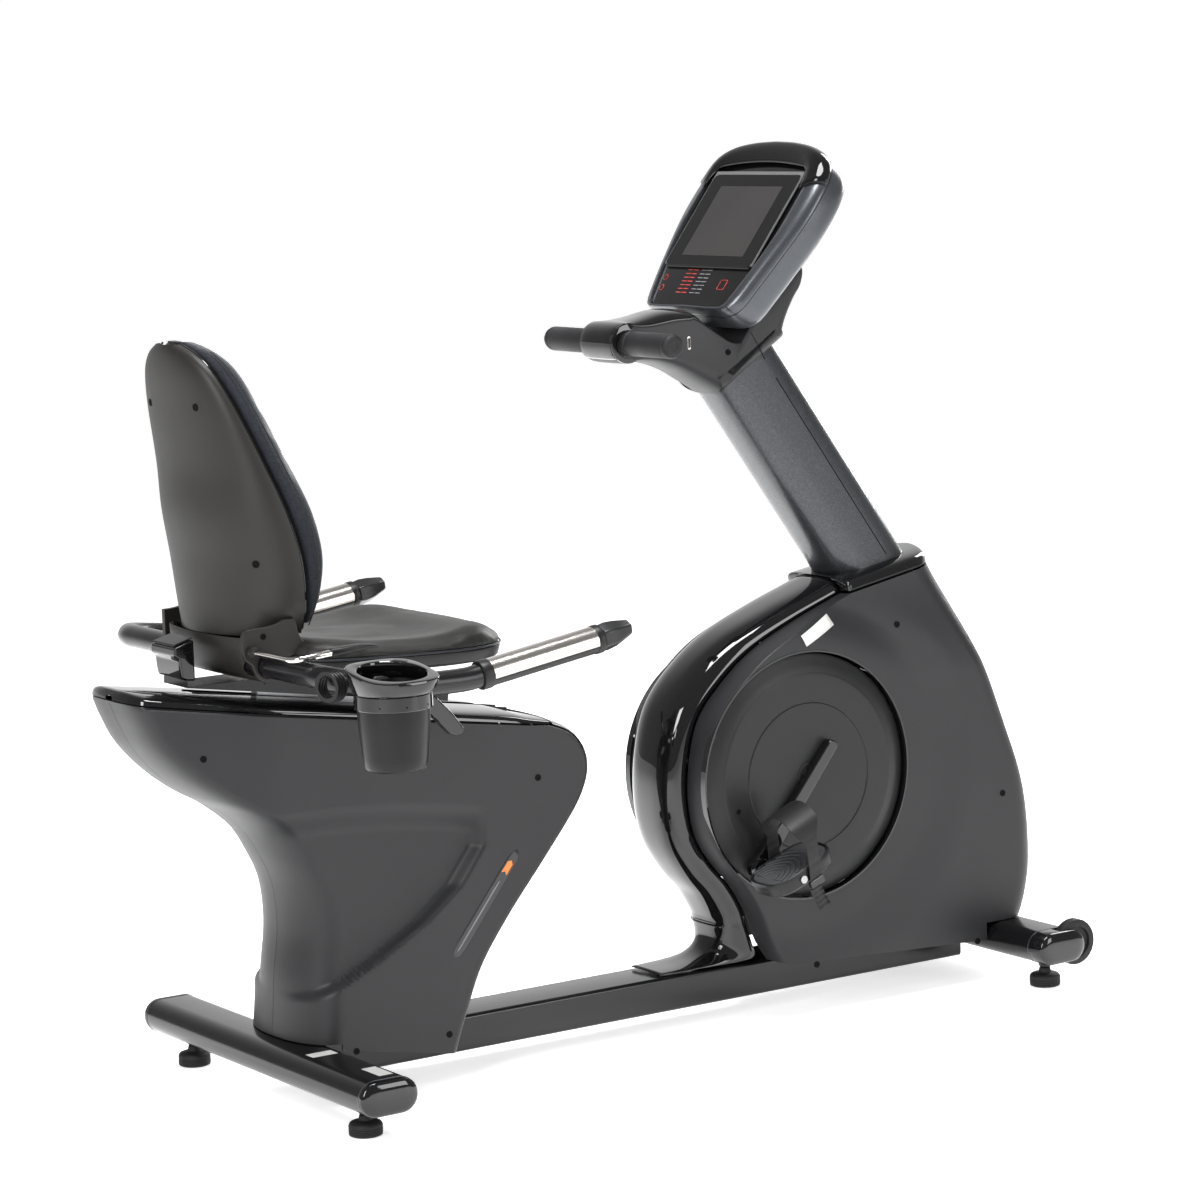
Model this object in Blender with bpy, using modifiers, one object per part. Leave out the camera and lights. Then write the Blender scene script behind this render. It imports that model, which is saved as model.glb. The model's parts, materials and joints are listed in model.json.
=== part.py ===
"""A recumbent exercise bike, as an assembly of separate pieces. Metres, +Z up, the rider faces +X."""

import math

import bmesh
import bpy
from mathutils import Matrix, Vector

# ---------------------------------------------------------------- driving dimensions
# The bike is laid out with x = 0 at the rear feet, y = 0 on its symmetry plane and z = 0 on
# the floor. BOX_CENTRE then moves it, so that the origin lies under the middle of its box.
BOX_CENTRE = (0.5505, -0.0561)
GAP = 0.0004

WHEELBASE = 1.26
REAR_FOOT_Y = 0.2555
FRONT_FOOT_Y = 0.198
FOOT_RADIUS = 0.024
TUBE_WIDTH, TUBE_HEIGHT = 0.09, 0.05
TUBE_Z = 0.067
REAR_HALF_LENGTH = 0.318
FRONT_HALF_LENGTH = 0.212
CAP_DEPTH = 0.014

RAIL_HALF_WIDTH = 0.045
RAIL_BOTTOM, RAIL_TOP = 0.028, 0.082
SHELL = 0.003

CRANK = Vector((0.880, 0.0, 0.371))
CRANK_LENGTH = 0.165
CRANK_ANGLE = math.radians(230.3)
CRANK_PLANE = 0.112
DISC_RADIUS = 0.186
DISC_STEPS = (0.159, 0.112)
PEDAL_Y = 0.186
PEDAL_PITCH = math.radians(-24.0)

FLYWHEEL = Vector((1.115, 0.0, 0.245))
FLYWHEEL_RADIUS, FLYWHEEL_WIDTH = 0.125, 0.032
PULLEY_RADIUS, DRIVEN_RADIUS = 0.13, 0.0163
IDLER_RADIUS = 0.020
BELT_Y = 0.034
BELT_WIDTH, BELT_THICKNESS = 0.016, 0.003

WHEEL = Vector((1.300, 0.0, 0.069))
WHEEL_RADIUS, WHEEL_WIDTH = 0.036, 0.018

SLIDE_TILT = math.radians(9.2)
SLIDE = Vector((math.cos(SLIDE_TILT), 0.0, -math.sin(SLIDE_TILT)))
RECLINE = Vector((-0.056, 0.0, 0.650))

GRIP_BAR = Vector((0.622, 0.0, 1.044))
GRIP_END_Y = 0.167
GRIP_RADIUS = 0.0185
CONSOLE_TILT = math.radians(52.3)
CONSOLE = Vector((0.835, 0.0, 1.178))
CUP = Vector((-0.020, -0.418, 0.668))

SEGMENTS = 24


# ---------------------------------------------------------------- scene, materials, bodies
def clear_scene():
    for obj in list(bpy.data.objects):
        bpy.data.objects.remove(obj, do_unlink=True)
    for group in list(bpy.data.collections):
        bpy.data.collections.remove(group)


def new_collection(name):
    group = bpy.data.collections.new(name)
    bpy.context.scene.collection.children.link(group)
    return group


clear_scene()
PARTS = new_collection("recumbent_exercise_bike")
CUTTERS = new_collection("cutters")
CUTTERS.hide_render = True


def material(name, colour, roughness, metallic=0.0):
    made = bpy.data.materials.new(name)
    made.use_nodes = True
    shader = made.node_tree.nodes["Principled BSDF"]
    shader.inputs["Base Color"].default_value = (*colour, 1.0)
    shader.inputs["Roughness"].default_value = roughness
    shader.inputs["Metallic"].default_value = metallic
    return made


MATTE_SHELL = material("matte_shell", (0.045, 0.045, 0.049), 0.55)
BACK_SHELL = material("back_shell", (0.032, 0.029, 0.027), 0.55)
GLOSS_BLACK = material("gloss_black", (0.006, 0.006, 0.007), 0.08)
FRAME_BLACK = material("frame_black", (0.008, 0.008, 0.009), 0.25)
MAST_PAINT = material("mast_paint", (0.035, 0.037, 0.042), 0.35, 0.5)
CONSOLE_GREY = material("console_grey", (0.09, 0.095, 0.105), 0.35, 0.6)
RUBBER = material("rubber", (0.012, 0.012, 0.013), 0.75)
FABRIC = material("fabric", (0.012, 0.014, 0.018), 0.9)
VINYL = material("vinyl", (0.045, 0.042, 0.038), 0.5)
CHROME = material("chrome", (0.75, 0.73, 0.70), 0.12, 1.0)
STAINLESS = material("stainless", (0.62, 0.60, 0.57), 0.28, 1.0)
STEEL = material("steel", (0.35, 0.35, 0.36), 0.35, 1.0)
CAST_IRON = material("cast_iron", (0.12, 0.12, 0.12), 0.5, 1.0)
ALUMINIUM = material("aluminium", (0.55, 0.56, 0.58), 0.35, 1.0)
GLASS_BLACK = material("glass_black", (0.015, 0.014, 0.014), 0.05)


def body(name, pivot=(0.0, 0.0, 0.0), parent=None):
    """An empty on a joint's axis; the pieces of that moving body hang from it."""
    empty = bpy.data.objects.new(name + "_axis", None)
    PARTS.objects.link(empty)
    empty.empty_display_size = 0.03
    empty["pivot"] = tuple(pivot)
    base = Vector(parent["pivot"]) if parent else Vector((0.0, 0.0, 0.0))
    empty.parent = parent
    empty.location = Vector(pivot) - base
    return empty


BIKE = body("bike")
BIKE.location = (-BOX_CENTRE[0], -BOX_CENTRE[1], 0.0)


def moving(name, pivot, parent=BIKE):
    return body(name, pivot, parent)


def add(obj, paint, parent, group=PARTS):
    """Hangs an object, whose location is in bike coordinates, from its body's empty."""
    if paint:
        obj.data.materials.append(paint)
    group.objects.link(obj)
    obj.parent = parent
    obj.location = obj.location - Vector(parent["pivot"])
    return obj


def from_bmesh(name, bm, paint, parent=BIKE, smooth=35.0):
    """Makes a node from a bmesh in bike coordinates."""
    bmesh.ops.translate(bm, verts=bm.verts, vec=-Vector(parent["pivot"]))
    mesh = bpy.data.meshes.new(name)
    bm.to_mesh(mesh)
    bm.free()
    mesh.shade_smooth()
    mesh.set_sharp_from_angle(angle=math.radians(smooth))
    obj = bpy.data.objects.new(name, mesh)
    obj.location = Vector(parent["pivot"])
    return add(obj, paint, parent)


# ---------------------------------------------------------------- shape helpers
def arc(centre, radius, start, end, count):
    """Points on an arc, in degrees; radius may be a pair of semi-axes."""
    rx, ry = radius if isinstance(radius, tuple) else (radius, radius)
    angles = [math.radians(start + (end - start) * i / (count - 1)) for i in range(count)]
    return [(centre[0] + rx * math.cos(a), centre[1] + ry * math.sin(a)) for a in angles]


def rounded_rectangle(width, height, radius, steps=4):
    """Points of a rectangle with round corners, anticlockwise round the origin."""
    points = []
    for sx, sy, start in ((1, 1, 0), (-1, 1, 90), (-1, -1, 180), (1, -1, 270)):
        centre = (sx * (width / 2 - radius), sy * (height / 2 - radius))
        points += arc(centre, radius, start, start + 90, steps + 1)
    return points


def spline(control, count):
    """Points equally spaced along a smooth curve through the control points."""
    control = [Vector(p) for p in control]
    ends = [2 * control[0] - control[1]] + control + [2 * control[-1] - control[-2]]
    fine = []
    for i in range(1, len(ends) - 2):
        p0, p1, p2, p3 = ends[i - 1 : i + 3]
        for k in range(12):
            t = k / 12
            fine.append(
                0.5 * (2 * p1 + (p2 - p0) * t + (2 * p0 - 5 * p1 + 4 * p2 - p3) * t**2
                       + (3 * p1 - p0 - 3 * p2 + p3) * t**3)
            )
    fine.append(control[-1])
    lengths = [0.0]
    for a, b in zip(fine, fine[1:]):
        lengths.append(lengths[-1] + (b - a).length)
    points, at = [], 0
    for k in range(count):
        wanted = lengths[-1] * k / (count - 1)
        while at < len(fine) - 2 and lengths[at + 1] < wanted:
            at += 1
        span = lengths[at + 1] - lengths[at] or 1.0
        points.append(fine[at].lerp(fine[at + 1], (wanted - lengths[at]) / span))
    return points


def blend(low, high, value):
    t = min(max((value - low) / (high - low), 0.0), 1.0)
    return t * t * (3 - 2 * t)


def rotation_to(axis):
    return Vector((0.0, 0.0, 1.0)).rotation_difference(Vector(axis).normalized()).to_matrix()


def box(name, size, centre, paint, parent=BIKE, bevel=0.002, tilt=0.0):
    """A block with rounded edges; tilt turns it about Y."""
    bm = bmesh.new()
    bmesh.ops.create_cube(bm, size=1.0, matrix=Matrix.Diagonal((*size, 1.0)))
    turn = Matrix.Translation(Vector(centre)) @ Matrix.Rotation(tilt, 4, "Y")
    bmesh.ops.transform(bm, matrix=turn, verts=bm.verts)
    obj = from_bmesh(name, bm, paint, parent)
    if bevel:
        round_edges(obj, bevel)
    return obj


def round_edges(obj, width, segments=2, angle=40.0):
    modifier = obj.modifiers.new("round", "BEVEL")
    modifier.width = width
    modifier.segments = segments
    modifier.limit_method = "ANGLE"
    modifier.angle_limit = math.radians(angle)
    return obj


def cylinder(name, radius, length, centre, axis, paint, parent=BIKE, segments=SEGMENTS, top=None):
    bm = bmesh.new()
    bmesh.ops.create_cone(
        bm, cap_ends=True, segments=segments, radius1=radius,
        radius2=radius if top is None else top, depth=length,
    )
    turn = Matrix.Translation(Vector(centre)) @ rotation_to(axis).to_4x4()
    bmesh.ops.transform(bm, matrix=turn, verts=bm.verts)
    return from_bmesh(name, bm, paint, parent)


def turned(name, profile, centre, axis, paint, parent=BIKE, steps=SEGMENTS):
    """A closed profile of (radius, height) turned about the axis with a Screw modifier."""
    mesh = bpy.data.meshes.new(name)
    count = len(profile)
    on_axis = profile[0][0] < 1e-6 and profile[-1][0] < 1e-6
    edges = [(i, i + 1) for i in range(count - 1)] + ([] if on_axis else [(count - 1, 0)])
    mesh.from_pydata([(r, 0.0, h) for r, h in profile], edges, [])
    obj = bpy.data.objects.new(name, mesh)
    obj.location = Vector(centre)
    obj.rotation_mode = "QUATERNION"
    obj.rotation_quaternion = rotation_to(axis).to_quaternion()
    screw = obj.modifiers.new("turn", "SCREW")
    screw.steps = screw.render_steps = steps
    screw.use_merge_vertices = True
    screw.merge_threshold = 0.00001
    screw.use_smooth_shade = True
    return add(obj, paint, parent)


def tube(name, points, radius, paint, parent=BIKE, sides=3):
    """A round bar along points, as a curve with filled caps."""
    curve = bpy.data.curves.new(name, "CURVE")
    curve.dimensions = "3D"
    curve.bevel_depth = radius
    curve.bevel_resolution = sides
    curve.use_fill_caps = True
    line = curve.splines.new("POLY")
    line.points.add(len(points) - 1)
    for point, place in zip(line.points, points):
        point.co = (*(Vector(place) - Vector(parent["pivot"])), 1.0)
    obj = bpy.data.objects.new(name, curve)
    obj.location = Vector(parent["pivot"])
    return add(obj, paint, parent)


def plate(name, outline, y_low, y_high, paint, parent=BIKE, bevel=0.0):
    """An outline of (x, z) points, extruded from y_low to y_high as a filled 2D curve."""
    curve = bpy.data.curves.new(name, "CURVE")
    curve.dimensions = "2D"
    curve.fill_mode = "BOTH"
    curve.extrude = (y_high - y_low) / 2 - bevel
    curve.bevel_depth = bevel
    curve.bevel_resolution = 1
    curve.offset = -bevel
    line = curve.splines.new("POLY")
    line.points.add(len(outline) - 1)
    for point, (x, z) in zip(line.points, outline):
        point.co = (x, z, 0.0, 1.0)
    line.use_cyclic_u = True
    obj = bpy.data.objects.new(name, curve)
    obj.location = (0.0, (y_low + y_high) / 2, 0.0)
    obj.rotation_euler = (math.radians(90), 0.0, 0.0)
    return add(obj, paint, parent)


def to_mesh(obj, merge=0.00002):
    """Turns a curve into a mesh with welded caps, in place, so that it can be cut or joined."""
    bpy.context.view_layer.update()
    graph = bpy.context.evaluated_depsgraph_get()
    mesh = bpy.data.meshes.new_from_object(obj.evaluated_get(graph))
    bm = bmesh.new()
    bm.from_mesh(mesh)
    bmesh.ops.remove_doubles(bm, verts=bm.verts, dist=merge)
    bmesh.ops.recalc_face_normals(bm, faces=bm.faces)
    bm.to_mesh(mesh)
    bm.free()
    name, group = obj.name, obj.users_collection[0]
    solid = bpy.data.objects.new(name, mesh)
    group.objects.link(solid)
    solid.parent = obj.parent
    solid.location = obj.location
    solid.rotation_euler = obj.rotation_euler
    bpy.data.objects.remove(obj, do_unlink=True)
    solid.name = name
    return solid


def loft(name, rings, paint, parent=BIKE, smooth=35.0):
    """A closed solid through rings of equal point counts, with flat ends."""
    bm = bmesh.new()
    rows = [[bm.verts.new(Vector(p)) for p in ring] for ring in rings]
    count = len(rows[0])
    for low, high in zip(rows, rows[1:]):
        for i in range(count):
            j = (i + 1) % count
            bm.faces.new((low[i], low[j], high[j], high[i]))
    bm.faces.new(rows[0][::-1])
    bm.faces.new(rows[-1])
    bmesh.ops.recalc_face_normals(bm, faces=bm.faces)
    return from_bmesh(name, bm, paint, parent, smooth)


def skin(name, rows, paint, parent=BIKE, thickness=SHELL, outward=None, smooth=40.0):
    """A shell: an open surface through rows of points, made solid inwards. outward is a direction
    that the surface's middle faces."""
    bm = bmesh.new()
    grid = [[bm.verts.new(Vector(p)) for p in row] for row in rows]
    for low, high in zip(grid, grid[1:]):
        for i in range(len(low) - 1):
            bm.faces.new((low[i], low[i + 1], high[i + 1], high[i]))
    bm.normal_update()
    total = sum((face.normal * face.calc_area() for face in bm.faces), Vector((0, 0, 0)))
    if total.dot(Vector(outward)) < 0:
        bmesh.ops.reverse_faces(bm, faces=bm.faces)
    obj = from_bmesh(name, bm, paint, parent, smooth)
    solid = obj.modifiers.new("wall", "SOLIDIFY")
    solid.thickness = thickness
    solid.offset = -1.0
    solid.use_even_offset = False
    return obj


def as_cutter(obj):
    for group in list(obj.users_collection):
        group.objects.unlink(obj)
    CUTTERS.objects.link(obj)
    obj.hide_render = True
    obj.display_type = "WIRE"
    return obj


def cut(target, cutter):
    modifier = target.modifiers.new("cut_" + cutter.name, "BOOLEAN")
    modifier.operation = "DIFFERENCE"
    modifier.object = cutter
    return target


def join(target, other):
    modifier = target.modifiers.new("join_" + other.name, "BOOLEAN")
    modifier.operation = "UNION"
    modifier.object = other
    return target


def mirrored(points):
    return [Vector((p[0], -p[1], p[2])) for p in points]


def tilted(angle, centre, points):
    """Places (across, up, out) points on a plane that leans back by angle from level."""
    up = Vector((math.cos(angle), 0.0, math.sin(angle)))
    out = Vector((-math.sin(angle), 0.0, math.cos(angle)))
    across = Vector((0.0, 1.0, 0.0))
    return [Vector(centre) + across * a + up * u + out * o for a, u, o in points]


def hollow(name, rings, thickness, paint, parent=BIKE, smooth=35.0, closed_end=False):
    """A tube through closed rings of points, made solid inwards; closed_end makes it a dish."""
    bm = bmesh.new()
    rows = [[bm.verts.new(Vector(p)) for p in ring] for ring in rings]
    count = len(rows[0])
    for low, high in zip(rows, rows[1:]):
        for i in range(count):
            j = (i + 1) % count
            bm.faces.new((low[i], low[j], high[j], high[i]))
    if closed_end:
        bm.faces.new(rows[-1])
    bmesh.ops.recalc_face_normals(bm, faces=bm.faces)
    middle = sum((v.co for v in bm.verts), Vector((0, 0, 0))) / len(bm.verts)
    bm.faces.ensure_lookup_table()
    if sum((f.calc_center_median() - middle).dot(f.normal) for f in bm.faces) < 0:
        bmesh.ops.reverse_faces(bm, faces=bm.faces)
    obj = from_bmesh(name, bm, paint, parent, smooth)
    solid = obj.modifiers.new("wall", "SOLIDIFY")
    solid.thickness = thickness
    solid.offset = -1.0
    return obj


# ---------------------------------------------------------------- frame and feet
def flat_oval(width, height):
    """The stabilisers' section: flat top and bottom with round sides."""
    radius = height / 2
    half = width / 2 - radius
    right = arc((half, 0.0), radius, -90, 90, 7)
    left = arc((-half, 0.0), radius, 90, 270, 7)
    return right + left


def section_at(outline, x, y, z):
    return [Vector((x + px, y, z + pz)) for px, pz in outline]


def stabiliser(name, x, half_length, foot_y):
    outline = flat_oval(TUBE_WIDTH, TUBE_HEIGHT)
    rings = [section_at(outline, x, y, TUBE_Z) for y in (-half_length, half_length)]
    made = hollow(name, rings, 0.0025, FRAME_BLACK)
    for side in (-1, 1):
        bore = cylinder(
            f"{name}_bore_{side + 1}", 0.0066, 0.02, (x, side * foot_y, TUBE_Z - TUBE_HEIGHT / 2),
            (0, 0, 1), None, segments=16,
        )
        cut(made, as_cutter(bore))
    return made


def end_cap(name, x, y_inner, side, depth=CAP_DEPTH):
    full = flat_oval(TUBE_WIDTH, TUBE_HEIGHT)
    small = flat_oval(TUBE_WIDTH - 0.008, TUBE_HEIGHT - 0.008)
    steps = ((0.0, full), (depth - 0.004, full), (depth, small))
    rings = [section_at(line, x, side * (y_inner + GAP + step), TUBE_Z) for step, line in steps]
    return loft(name, rings, RUBBER)


def levelling_foot(name, x, y):
    pivot = (x, y, 0.0)
    holder = moving(name, pivot)
    radius = FOOT_RADIUS
    profile = [
        (0.0, 0.058), (0.006, 0.058), (0.006, 0.036), (0.011, 0.036), (0.011, 0.026),
        (0.009, 0.024), (0.010, 0.020), (radius - 0.002, 0.019), (radius, 0.016),
        (radius, 0.005), (radius - 0.003, 0.0), (0.0, 0.0),
    ]
    return turned(name, profile, pivot, (0, 0, 1), RUBBER, holder, steps=18)


def frame():
    rear = stabiliser("rear_stabiliser", 0.0, REAR_HALF_LENGTH, REAR_FOOT_Y)
    front = stabiliser("front_stabiliser", WHEELBASE, FRONT_HALF_LENGTH, FRONT_FOOT_Y)
    start, end = TUBE_WIDTH / 2 + GAP, WHEELBASE - TUBE_WIDTH / 2 - GAP
    ring = rounded_rectangle(2 * RAIL_HALF_WIDTH, RAIL_TOP - RAIL_BOTTOM, 0.006, 3)
    middle = (RAIL_TOP + RAIL_BOTTOM) / 2
    rings = [[Vector((x, py, middle + pz)) for py, pz in ring] for x in (start, end)]
    hollow("main_rail", rings, 0.0025, FRAME_BLACK)
    for side, word in ((-1, "right"), (1, "left")):
        end_cap(f"rear_end_cap_{word}", 0.0, REAR_HALF_LENGTH, side)
        levelling_foot(f"rear_foot_{word}", 0.0, side * REAR_FOOT_Y)
        levelling_foot(f"front_foot_{word}", WHEELBASE, side * FRONT_FOOT_Y)
        transport_wheel(word, side)
    return rear, front


def transport_wheel(word, side):
    """A wheel in a slot of the front end cap; it meets the floor when the rear is lifted."""
    depth = 0.036
    cap = end_cap(f"front_end_cap_{word}", WHEELBASE, FRONT_HALF_LENGTH, side, depth)
    y_wheel = side * (FRONT_HALF_LENGTH + 0.0135)
    slot = box(
        f"wheel_slot_{word}", (0.10, WHEEL_WIDTH + 0.003, 0.12),
        (WHEEL.x + 0.0095, y_wheel, WHEEL.z), None, bevel=0.0,
    )
    cut(cap, as_cutter(slot))
    y_pin = side * (FRONT_HALF_LENGTH + 0.018)
    pin = cylinder(
        f"wheel_pin_{word}", 0.004, 0.028, (WHEEL.x - 0.004, y_pin, WHEEL.z), (0, 1, 0), None,
        segments=12,
    )
    join(cap, as_cutter(pin))
    pivot = (WHEEL.x - 0.004, y_wheel, WHEEL.z)
    holder = moving(f"wheel_{word}", pivot)
    half = WHEEL_WIDTH / 2
    profile = [
        (0.0046, half), (WHEEL_RADIUS - 0.003, half), (WHEEL_RADIUS, half - 0.003),
        (WHEEL_RADIUS, 0.003 - half), (WHEEL_RADIUS - 0.003, -half), (0.0046, -half),
    ]
    turned(f"transport_wheel_{word}", profile, pivot, (0, 1, 0), RUBBER, holder, steps=22)


# ---------------------------------------------------------------- rear housing
REAR_BACK = (
    (-0.004, 0.0, 0.0935), (0.000, 0.0, 0.130), (0.004, 0.0, 0.180), (0.013, 0.0, 0.250),
    (0.008, 0.0, 0.313), (-0.012, 0.0, 0.360), (-0.036, 0.0, 0.398), (-0.075, 0.0, 0.432),
    (-0.125, 0.0, 0.462), (-0.166, 0.0, 0.495), (-0.200, 0.0, 0.535), (-0.221, 0.0, 0.575),
    (-0.233, 0.0, 0.606),
)
REAR_FRONT = (
    (0.233, 0.0, 0.048), (0.255, 0.0, 0.105), (0.285, 0.0, 0.172), (0.335, 0.0, 0.240),
    (0.400, 0.0, 0.315), (0.455, 0.0, 0.382), (0.476, 0.0, 0.425), (0.474, 0.0, 0.460),
    (0.452, 0.0, 0.489), (0.418, 0.0, 0.505),
)
RECESS_EDGE = ((0.000, 0.148), (0.117, 0.200), (0.201, 0.247), (0.259, 0.292), (0.300, 0.345))
RECESS_DEPTH = 0.020
REAR_HALF_WIDTH = 0.114
DECK_START, DECK_END = Vector(REAR_BACK[-1]), Vector(REAR_FRONT[-1])


def recess_edge(z):
    """The x of the slanted edge of the hollow in the rear housing's side."""
    for (x0, z0), (x1, z1) in zip(RECESS_EDGE, RECESS_EDGE[1:]):
        if z <= z1:
            return x0 + (x1 - x0) * (z - z0) / (z1 - z0)
    return RECESS_EDGE[-1][0]


def rear_half_width(x, z):
    """How far the rear housing's side stands from the symmetry plane."""
    width = REAR_HALF_WIDTH - 0.032 * blend(-0.02, -0.23, x)
    top = 0.435 - 0.35 * max(x, 0.0) ** 2
    inside = blend(top, top - 0.045, z) * blend(recess_edge(z), recess_edge(z) - 0.022, x)
    return width - RECESS_DEPTH * inside * blend(0.135, 0.165, z)


def rear_row(back, front, last):
    """Points of the side from the seam at the back to the trim at the front, at one level."""
    direction = (front - back).normalized()
    length = (front - back).length
    tail = blend(0.44, 0.56, back.z)
    depth = 0.055 - 0.02 * tail
    power = 0.9 - 0.3 * tail
    row = []
    for k in range(7):
        angle = math.radians(90 * k / 6)
        at = back + direction * depth * (1 - math.cos(angle) ** power)
        width = rear_half_width(at.x, at.z) * math.sin(angle) ** power
        row.append(Vector((at.x, max(width, GAP), at.z)))
    flats = 9
    for k in range(1, flats + 1):
        at = back + direction * (depth + (length - depth - 0.006) * k / flats)
        row.append(Vector((at.x, rear_half_width(at.x, at.z), at.z)))
    row.append(Vector((front.x, rear_half_width(front.x, front.z) - 0.006, front.z)))
    if last:
        row = [Vector((p.x, max(p.y - 0.004, GAP), p.z)) for p in row]
    return row


def rear_housing():
    levels = 17
    backs, fronts = spline(REAR_BACK, levels), spline(REAR_FRONT, levels)
    rows = [rear_row(b, f, i == levels - 1) for i, (b, f) in enumerate(zip(backs, fronts))]
    clearance = box(
        "stabiliser_clearance", (TUBE_WIDTH + 0.006, 0.5, 0.1), (0.0, 0.0, 0.0435), None, bevel=0.0
    )
    as_cutter(clearance)
    left = skin("rear_housing_left", rows, MATTE_SHELL, outward=(0, 1, 0))
    right = skin(
        "rear_housing_right", [mirrored(row) for row in rows], MATTE_SHELL, outward=(0, -1, 0)
    )
    for half in (left, right):
        cut(half, clearance)
    deck_cover(rows[-1])
    rear_trim(fronts)


def deck_cover(edge):
    """The gloss top between the two side shells, with a slot for the seat carriage."""
    stations = [edge[i] for i in (0, 2, 3, 4, 5, 6, 7, 8, 9, 11, 13, 15)]
    up = Vector((SLIDE.z * -1, 0.0, SLIDE.x))
    rows = []
    for i, at in enumerate(stations):
        half = max(at.y, 0.012) if i else 0.03
        crown = 0.013 if 0 < i < len(stations) - 1 else 0.007
        base = Vector((at.x, 0.0, at.z)) + up * (SHELL + GAP + 0.0005)
        row = []
        for k in range(11):
            angle = math.radians(-90 + 18 * k)
            across = half * math.copysign(abs(math.sin(angle)) ** 0.55, math.sin(angle))
            row.append(base + Vector((0, across, 0)) + up * crown * math.cos(angle) ** 0.7)
        rows.append(row)
    deck = skin("deck_cover", rows, GLOSS_BLACK, outward=up)
    slot = box(
        "carriage_slot", (0.52, 0.030, 0.06), (0.145, 0.0, 0.552), None, bevel=0.0, tilt=SLIDE_TILT
    )
    cut(deck, as_cutter(slot))


def strip_ring(at, outwards, half, crown, steps=8):
    """A row across a strip: an arc that bulges outwards from y = -half to y = half."""
    row = []
    for k in range(steps + 1):
        angle = math.radians(-90 + 180 * k / steps)
        across = half * math.copysign(abs(math.sin(angle)) ** 0.7, math.sin(angle))
        row.append(at + Vector((0, across, 0)) + outwards * crown * math.cos(angle) ** 0.8)
    return row


def outward_normals(points, away_from):
    """Unit normals in the XZ plane along points, turned away from a middle point."""
    normals = []
    for i, point in enumerate(points):
        before, after = points[max(i - 1, 0)], points[min(i + 1, len(points) - 1)]
        along = (after - before).normalized()
        normal = Vector((along.z, 0.0, -along.x))
        if normal.dot(point - away_from) < 0:
            normal = -normal
        normals.append(normal)
    return normals


def rear_trim(fronts):
    """The gloss strip down the front edge of the rear housing."""
    normals = outward_normals(fronts, Vector((0.1, 0.0, 0.35)))
    rows = []
    for at, normal in zip(fronts[:-1], normals[:-1]):
        half = rear_half_width(at.x, at.z) - 0.0065
        rows.append(strip_ring(at + normal * (SHELL + 0.001), normal, half, 0.008))
    trim = skin("rear_trim", rows, GLOSS_BLACK, outward=(1, 0, 0))
    rail = box(
        "rail_clearance", (0.6, 2 * RAIL_HALF_WIDTH + 0.002, 0.08), (0.25, 0.0, RAIL_TOP - 0.039),
        None, bevel=0.0,
    )
    cut(trim, as_cutter(rail))


# ---------------------------------------------------------------- front housing
SPINE = (
    (0.824, 0.0, 0.086), (0.803, 0.0, 0.120), (0.783, 0.0, 0.171), (0.757, 0.0, 0.214),
    (0.725, 0.0, 0.251), (0.698, 0.0, 0.297), (0.689, 0.0, 0.354), (0.694, 0.0, 0.414),
    (0.712, 0.0, 0.472), (0.754, 0.0, 0.520), (0.811, 0.0, 0.564), (0.890, 0.0, 0.601),
    (0.985, 0.0, 0.636),
)
FRONT_NOSE = (
    (1.290, 0.0, 0.062), (1.315, 0.0, 0.100), (1.330, 0.0, 0.150), (1.334, 0.0, 0.200),
    (1.330, 0.0, 0.269), (1.317, 0.0, 0.330), (1.290, 0.0, 0.403), (1.260, 0.0, 0.481),
    (1.230, 0.0, 0.544), (1.198, 0.0, 0.610), (1.168, 0.0, 0.668),
)
SPINE_HALF_WIDTH = 0.060
DRUM_HALF_WIDTH = 0.107


def front_half_width(x, z):
    """The side's distance from the symmetry plane: flat round the disc, fuller towards the nose."""
    from_axle = math.hypot(x - CRANK.x, z - CRANK.z)
    full = DRUM_HALF_WIDTH + 0.010 * blend(DISC_RADIUS + 0.05, DISC_RADIUS + 0.13, from_axle)
    narrowing = (full - 0.078) * blend(0.50, 0.67, z)
    return full - narrowing * blend(DISC_RADIUS + 0.005, DISC_RADIUS + 0.08, from_axle)


def front_row(back, front):
    direction = (front - back).normalized()
    length = (front - back).length
    start = 0.007
    row = []
    for k in range(5):
        angle = math.radians(90 * k / 4)
        at = back + direction * start * (1 - math.cos(angle))
        rise = (front_half_width(at.x, at.z) - SPINE_HALF_WIDTH) * math.sin(angle)
        row.append(Vector((at.x, SPINE_HALF_WIDTH + rise, at.z)))
    nose = min(0.055, length * 0.4)
    flats = 11
    for k in range(1, flats + 1):
        at = back + direction * (start + (length - start - nose) * k / flats)
        row.append(Vector((at.x, front_half_width(at.x, at.z), at.z)))
    for k in range(1, 7):
        angle = math.radians(90 * k / 6)
        at = front - direction * nose * (1 - math.sin(angle) ** 0.9)
        width = front_half_width(at.x, at.z) * math.cos(angle) ** 0.8
        row.append(Vector((at.x, max(width, GAP), at.z)))
    return row


def front_housing():
    levels = 19
    backs, fronts = spline(SPINE, levels), spline(FRONT_NOSE, levels)
    rows = [front_row(b, f) for b, f in zip(backs, fronts)]
    left = skin("front_housing_left", rows, MATTE_SHELL, outward=(0, 1, 0))
    right = skin(
        "front_housing_right", [mirrored(row) for row in rows], MATTE_SHELL, outward=(0, -1, 0)
    )
    clearance = box(
        "front_tube_clearance", (TUBE_WIDTH + 0.008, 0.5, 0.1), (WHEELBASE, 0.0, 0.0435), None,
        bevel=0.0,
    )
    opening = cylinder(
        "disc_opening", DISC_RADIUS + 0.003, 0.5, CRANK, (0, 1, 0), None, segments=40
    )
    as_cutter(clearance)
    as_cutter(opening)
    for half in (left, right):
        cut(half, clearance)
        cut(half, opening)
    spine_cover()
    mast_collar(rows[-1])


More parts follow.
